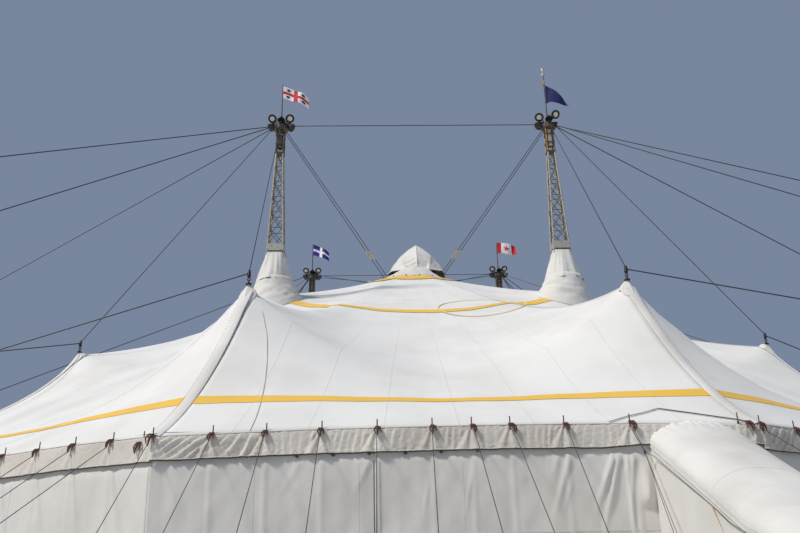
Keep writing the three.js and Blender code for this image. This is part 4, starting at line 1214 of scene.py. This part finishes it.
def make_hood():
    net = grid(120, 30, hood_place, (8, 2), loop=True)
    hood = make_cloth("hood_canvas", net, PLAIN_WHITE, "roof_canvas", "crown_steel",
                      away=(0, 0, 18.8), stands_for="cupola_hood", thickness=0.02)
    hood.data.set_sharp_from_angle(angle=radians(28))
    tip = Parts()
    tip.turned((0.30, 0, 20.82), [(0.06, 0.0), (0.05, 0.05), (0.012, 0.09)], 12)
    tip.make("hood_tip", PLAIN_WHITE, "roof_canvas")
    # A near-black cone inside the hood: painted shade of the hood's hollow
    inside = Parts()
    inside.turned((0.25, 0, 18.45), [(1.2, 0.0), (1.15, 0.7), (0.6, 1.5), (0.1, 2.0)], 32)
    inside.make("hood_painted_shade", DARK_HEM_AND_SHADE, "dark_fittings")
    seams = Parts()
    for i in range(10):
        seams.tube([hood_place(i / 10, t) + upward(0.004) for t in steps(24)], 0.010 if i else 0.02, 5)
    seams.tube([hood_place(i / 120, 0.0) for i in range(120)], 0.02, 6, closed=True)
    seams.make("hood_seams", HEM_ROLL, "roof_canvas")


def make_collar():
    def skirt(s, t):
        a = 2 * pi * s
        front = clamp((abs(sin(a)) - 0.64) / 0.29)
        r = 2.5 - 1.02 * t + wander_round(5, a, t * 5) * 0.05
        z = 18.07 + (0.32 + 0.6 * (0.12 + 0.88 * front)) * t ** 0.8
        z += wander_round(8, a, t * 3 + 4) * 0.04
        return polar(r, a, z) + Vector((0.2 * t, 0, 0))

    net = grid(120, 12, skirt, (8, 1), loop=True)
    make_cloth("crown_collar", net, PLAIN_WHITE, "roof_canvas", "roof_canvas_01",
               away=(0, 0, 18))


def make_crown():
    """Ring, eyelets and the ties to the mast heads, with their turnbuckles."""
    make_hood()
    make_collar()
    steel = Parts()
    low, high = 18.12, 18.55
    for z in (low, high):
        steel.tube([polar(1.66, i * pi / 24, z) for i in range(48)], 0.06, 8, closed=True)
    for i in range(24):
        a = i * pi / 12
        steel.tube([polar(1.66, a, low), polar(1.66, a, high)], 0.03, 6)
    for i in range(24):
        p = polar(2.62, (i + 0.5) * pi / 12)
        p.z = ground_of_roof(p.x, p.y) + 0.07
        steel.turned(p, [(0.035, 0.0), (0.035, 0.03), (0.015, 0.035)], 8)
    for sx, sy in CORNERS:
        # Each tie's bearing at the ring, its height at the head and its turnbuckle's place along it
        for bearing, lift, where in ((66, 0.09, 0.83), (80, -0.07, 0.81)):
            a = radians(bearing)
            end = Vector((0.1 + sx * 1.52 * sin(a), sy * 1.52 * cos(a), 18.74))
            start = head_start(sx, sy, end, lift, 0.36)
            steel.material = CABLE
            steel.tube([start, end], 0.018, 6)
            steel.material = PALE_STEEL
            p, q = start.lerp(end, where - 0.03), start.lerp(end, where + 0.03)
            steel.tube([p, p.lerp(q, 0.2), p.lerp(q, 0.8), q], [0.03, 0.055, 0.055, 0.03], 8)
    ring = steel.make("crown_steel", [DARK_HEM_AND_SHADE, CABLE, PALE_STEEL], "cable_steel")
    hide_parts("crown_ring_and_ties")


# Rigging
def head_start(sx, sy, to, lift=0.0, out=0.33):
    """Where a cable leaves a mast's head on its way to a place."""
    start = Vector((sx * MAST_X, sy * MAST_Y, CABLE_Z + lift))
    away = Vector((to.x - start.x, to.y - start.y, 0)).normalized()
    return start + away * out


def make_rigging():
    for front in (True, False):
        cables = Parts()
        for sx, sy in CORNERS:
            if (sy < 0) != front:
                continue
            places = ANCHORS[sx] + ([] if front else [CROSS_ANCHOR])
            for i, (ax, ay) in enumerate(places):
                foot = Vector((sx * ax, sy * ay, 0.28))
                if i < 3 or i >= len(ANCHORS[sx]):
                    cables.material = CABLE
                    cables.tube([head_start(sx, sy, foot, (i - 1) * 0.024), foot], 0.021, 8)
                make_anchor(cables, sx * ax, sy * ay)
        for k in range(SIDES):
            top = ridge_point(k, PEAKS[ridge_angle(k)][0])
            if (top.y < 0) == front:
                make_hanger(cables, k, top)
        cables.material = CABLE
        side = -1 if front else 1
        level = [Vector((x, side * MAST_Y, CABLE_Z + 0.13)) for x in (0.3 - MAST_X, MAST_X - 0.3)]
        cables.tube(level, 0.019, 8)
        name = "rigging_front" if front else "rigging_back"
        materials = [CABLE, BLACK, CONCRETE, PALE_STEEL, STRAP]
        piece = cables.make(name.replace("rigging", "cables"), materials, "cable_steel")
        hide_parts(name)


def make_anchor(parts, x, y):
    parts.material = CONCRETE
    parts.box((x, y, 0.17), (0.5, 0.5, 0.34))
    parts.material = PALE_STEEL
    parts.ring((x, y, 0.37), 0.06, 0.018, (0, 1, 0), 14, 6)
    parts.material = CABLE


def make_hanger(parts, k, top):
    """Plate, links and block that hang a ridge peak from its two cables."""
    angle = ridge_angle(k)
    sx = 1 if top.x > 0 else -1
    sy = 1 if top.y > 0 else -1
    place = PEAK_ANCHORS[sx].get(angle)
    if place is None:
        return
    foot = top + upward(0.09)
    parts.material = BLACK
    parts.turned(foot, [(0.085, 0.0), (0.085, 0.035), (0.04, 0.05), (0.03, 0.07)], 14)
    parts.material = STRAP
    parts.ring(foot + upward(0.10), 0.042, 0.017, (1, 0, 0), 14, 6)
    parts.ring(foot + upward(0.165), 0.042, 0.017, (0, 1, 0), 14, 6)
    parts.material = PALE_STEEL
    parts.turned(foot + Vector((0, -0.01, 0.21)), [(0.022, 0.0), (0.022, 0.02)], 10, (0, 1, 0))
    parts.material = BLACK
    block = [(0.02, 0.0), (0.05, 0.03), (0.058, 0.08), (0.04, 0.13), (0.055, 0.15), (0.045, 0.20),
             (0.02, 0.22)]
    parts.turned(foot + upward(0.21), block, 12)
    parts.material = STRAP
    parts.ring(foot + upward(0.42), 0.035, 0.014, (0, 1, 0), 12, 6)
    hook = top + upward(HANGER - 0.06)
    ax, ay = ANCHORS[sx][place]
    apart = 0.5 / 3 if angle == 15 else -0.5 / 3
    anchor = Vector((sx * (ax - apart), sy * (ay + apart), 0.2))
    parts.material = CABLE
    parts.tube([head_start(sx, sy, hook), hook], 0.015, 8)
    parts.tube([hook - upward(0.045), anchor], 0.019, 8)


# Entrance tunnel
def vault_place(s, t):
    """The vault's cloth: an arch between two hanging edges, ruched where it leaves the valance."""
    along = TUNNEL_LENGTH * t ** 1.3
    d = VAULT_START + along
    spring = along_line(TUNNEL_LINE, d)
    if s < VAULT_EDGE or s > 1 - VAULT_EDGE:
        side = -1 if s < 0.5 else 1
        share = min(s, 1 - s) / VAULT_EDGE
        z = spring + 0.01 - 0.13 * (1 - share)
        out = TUNNEL_HALF + 0.035 + 0.012 * wander(d * 3, z * 2, side)
        return Vector((TUNNEL_X + side * out, -d, z))
    a = pi * (s - VAULT_EDGE) / (1 - 2 * VAULT_EDGE)
    reach = 0.22 + 0.12 * abs(cos(a)) + 0.1 * wander(a * 5, 3.0, 3.0)
    gathers = 0.022 * exp(-along / reach) * sin(a * 34 + 7 * wander(along * 2, a * 3, 1.0))
    gathers += wander(a * 8, along * 1.6, 2.0) * 0.07 * exp(-along / 0.35)
    gathers -= 0.05 * exp(-along / 0.12)
    puff = 0.03 * abs(sin(pi * (d - HOOP) / HOOP_SPACING)) if d < 29.9 else 0.0
    soft = wander(a * 1.2, d * 0.5, 6.0) * 0.03
    creased = 0.022 * wander(a * 2.2 - d * 1.4, d * 0.9, 8.0)
    grow = 0.03 + (puff + gathers + soft + creased) * sin(a)
    # The crown of the arch leans a little to the right where it leaves the tent
    shift = 0.06 * exp(-along / 1.5) * sin(a)
    x = TUNNEL_X - (TUNNEL_HALF + 0.03 + 0.3 * (gathers + soft)) * cos(a) + shift
    return Vector((x, -d, spring + (TUNNEL_RISE + grow) * sin(a)))


def make_vault():
    points, faces, uvs = grid(200, 64, vault_place, (3, 6))
    # The streaks of the canvas run along the tunnel
    net = (points, faces, [(v, u) for u, v in uvs])
    make_cloth("tunnel_vault", net, PLAIN_WHITE, "roof_canvas", "tunnel_frame",
               stands_for="tunnel_roof")
    trim = Parts()
    for foot, spring in ((0, VAULT_EDGE), (1, 1 - VAULT_EDGE)):
        trim.tube([vault_place(foot, t) for t in steps(60)], 0.011, 5)
        trim.tube([vault_place(spring, t) + upward(0.004) for t in steps(60)], 0.009, 5)
    hoop = ((HOOP - VAULT_START) / TUNNEL_LENGTH) ** (1 / 1.3)
    for t in (hoop, 1.0):
        trim.tube([vault_place(VAULT_EDGE + (1 - 2 * VAULT_EDGE) * s, t) for s in steps(40)], 0.007, 6)
    trim.make("tunnel_seams", TUNNEL_SEAM, "wall_canvas")


def make_tunnel_sides():
    start = WALL + 0.03
    for side, node in ((-1, "tunnel_wall_left"), (1, "tunnel_wall_right")):
        def place(s, t):
            d = start + (TUNNEL_LINE[-1][0] - start) * s
            z = (along_line(TUNNEL_LINE, d) - 0.01) * t
            slack = wander(d * 2.2, z * 0.4, side * 4) * 0.05
            slack += wander(d * 5, z * 0.8, side * 9) * 0.02
            x = TUNNEL_X + side * (TUNNEL_HALF + 0.02 + slack * sin(pi * t) * 0.8)
            return Vector((x, -d, z))

        make_cloth(node.replace("wall", "side"), grid(60, 26, place, (6, 4)), WALL_CLOTH, "wall_canvas",
                   "tunnel_vault", away=(TUNNEL_X, -27.2, 1.4), stands_for=node)


def make_tunnel_ropes():
    """Ropes that hold the tunnel's inner corner and its edge down, and the cord along its hem."""
    ropes = Parts()
    knot = (3.908, -24.85, 4.869)
    for foot in ((3.52, -29.1, 0.05), (3.75, -28.9, 0.05)):
        ropes.tube([knot, foot], 0.0065, 6)
    for start in (3.70, 3.76):
        ropes.tube([eave_place(0, 0.09, start, -0.08), knot], 0.006, 6)
    turn = (4.12, -27.62, 3.41)
    ropes.tube([knot, (4.055, -24.95, 4.76), turn, (4.095, -28.33, 3.06), (4.08, -30.3, 2.35)], 0.007, 6)
    ropes.ring(knot, 0.04, 0.014, (1, 0, 0), 12, 6)
    ropes.material = OCHRE
    ropes.tube([turn, (4.25, -29.8, 0.05)], 0.020, 6)
    ropes.make("tunnel_ropes", [GUY, OCHRE], "guy_rope")


# Flags, each with its top, width, drop, height at the pole and height outside, and with its cloths
FLAGS = {
    "front_left": ((25.05, 1.2, 0.65, 0.67, 0.6), [FLAG_WHITE, FLAG_RED, FLAG_DARK], "flag_white_red"),
    "front_right": ((25.07, 1.05, 1.1, 1.05, 0.15), [FLAG_NAVY], "flag_navy"),
    "back_right": ((25.18, 1.25, 0.25, 0.8, 0.7), [FLAG_WHITE, FLAG_RED], "flag_red_white"),
    "back_left": ((25.15, 1.05, 0.6, 0.8, 0.65), [FLAG_WHITE, FLAG_BLUE], "flag_blue_white"),
}


def flag_colour(name, u, v):
    """Index of a flag's cloth at a place: u from the pole outwards, v from the top down."""
    if name == "front_left":
        if abs(v - 0.5) < 0.11 or abs(u - 0.5) < 0.075:
            return 1
        spot = min(hypot((u - a) * 1.6, v - b) for a in (0.22, 0.78) for b in (0.22, 0.78))
        return 2 if spot < 0.12 else 0
    if name == "back_right":
        if u < 0.25 or u > 0.75:
            return 1
        x, y = (u - 0.5) * 1.7, v - 0.5
        a = atan2(y, x)
        leaf = 0.17 + 0.08 * cos(5 * a + pi / 2)
        return 1 if hypot(x, y) < leaf else 0
    if name == "back_left":
        return 0 if abs(v - 0.5) < 0.1 or abs(u - 0.5) < 0.07 else 1
    return 0


def make_flags():
    for (sx, sy), name in MASTS:
        (top, width, drop, at_pole, outside), cloths, slot = FLAGS[name]
        base = Vector((sx * MAST_X, sy * MAST_Y, 0))

        def place(s, t):
            height = at_pole + (outside - at_pole) * s
            fall = drop * (0.45 * s + 0.55 * s * s)
            wave = sin(s * 7.5 + t * 1.2 + sx) * 0.10 * s ** 0.7
            ripple = sin(s * 15 + t * 2.5) * 0.03 * s
            x = 0.035 + width * (s - 0.04 * sin(s * 6) * t)
            return base + Vector((x, wave + ripple, top - fall - height * t + 0.03 * sin(s * 9) * t))

        columns, rows = 54, 36
        points, faces, uvs = grid(columns, rows, place, (1.2, 0.8))
        flag = make(f"flag_cloth_{name}", points, faces, cloths, slot, uvs=uvs)
        for face in flag.data.polygons:
            i, j = divmod(face.index, rows)
            face.material_index = flag_colour(name, (i + 0.5) / columns, (j + 0.5) / rows)
        declare_cloth(flag, thickness=0.006)
        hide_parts(f"flag_{name}")


# Stage, light, camera
def make_stage():
    mesh = bpy.data.meshes.new("floor")
    size = 400.0
    mesh.from_pydata([(x * size, y * size, 0) for x, y in CORNERS], [], [(0, 1, 2, 3)])
    mesh.materials.append(worn_material("pale floor", (0.62, 0.61, 0.59), (0.58, 0.57, 0.55), 0.9, 0.0, 0.4))
    add_object("floor", mesh)
    world = bpy.data.worlds.new("studio")
    bpy.context.scene.world = world
    world.use_nodes = True
    sky = world.node_tree.nodes["Background"]
    sky.inputs[0].default_value = (0.19, 0.24, 0.34, 1)
    sky.inputs[1].default_value = 1.0
    sun = bpy.data.lights.new("key", "SUN")
    sun.energy = 3.3
    sun.angle = radians(8.0)
    sun.color = (1.0, 0.955, 0.885)
    # The light travels to the right and away from the camera
    height = radians(52)
    travel = polar(cos(height), radians(90 - 62), -sin(height))
    add_object("key", sun).rotation_euler = travel.to_track_quat("-Z", "Y").to_euler()


def make_camera():
    bpy.context.scene.view_settings.view_transform = "Standard"
    yaw = radians(1.458)
    pitch = radians(22.76)
    roll = radians(-1.121)
    ahead = Vector((sin(yaw) * cos(pitch), cos(yaw) * cos(pitch), sin(pitch)))
    right0 = Vector((cos(yaw), -sin(yaw), 0))
    up0 = right0.cross(ahead)
    right = right0 * cos(roll) + up0 * sin(roll)
    up = up0 * cos(roll) - right0 * sin(roll)
    data = bpy.data.cameras.new("camera")
    data.lens = 38.01
    data.sensor_width = 36.0
    data.clip_end = 1000.0
    camera = add_object("camera", data)
    place = Matrix((right, up, -ahead)).transposed().to_4x4()
    place.translation = Vector((-0.8415, -21.421, 0.825))
    camera.matrix_world = place
    bpy.context.scene.camera = camera


make_camera()
make_stage()
make_roof()
make_bands()
make_sleeves()
make_valance()
make_walls()
make_guys()
make_masts()
make_cones()
make_crown()
make_rigging()
make_vault()
make_tunnel_sides()
make_tunnel_ropes()
make_flags()
for node in ["tunnel_frame"] + [f"perimeter_poles_{two(k)}" for k in range(SIDES)]:
    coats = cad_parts[node].data.materials
    coats.clear()
    coats.append(GALVANISED)
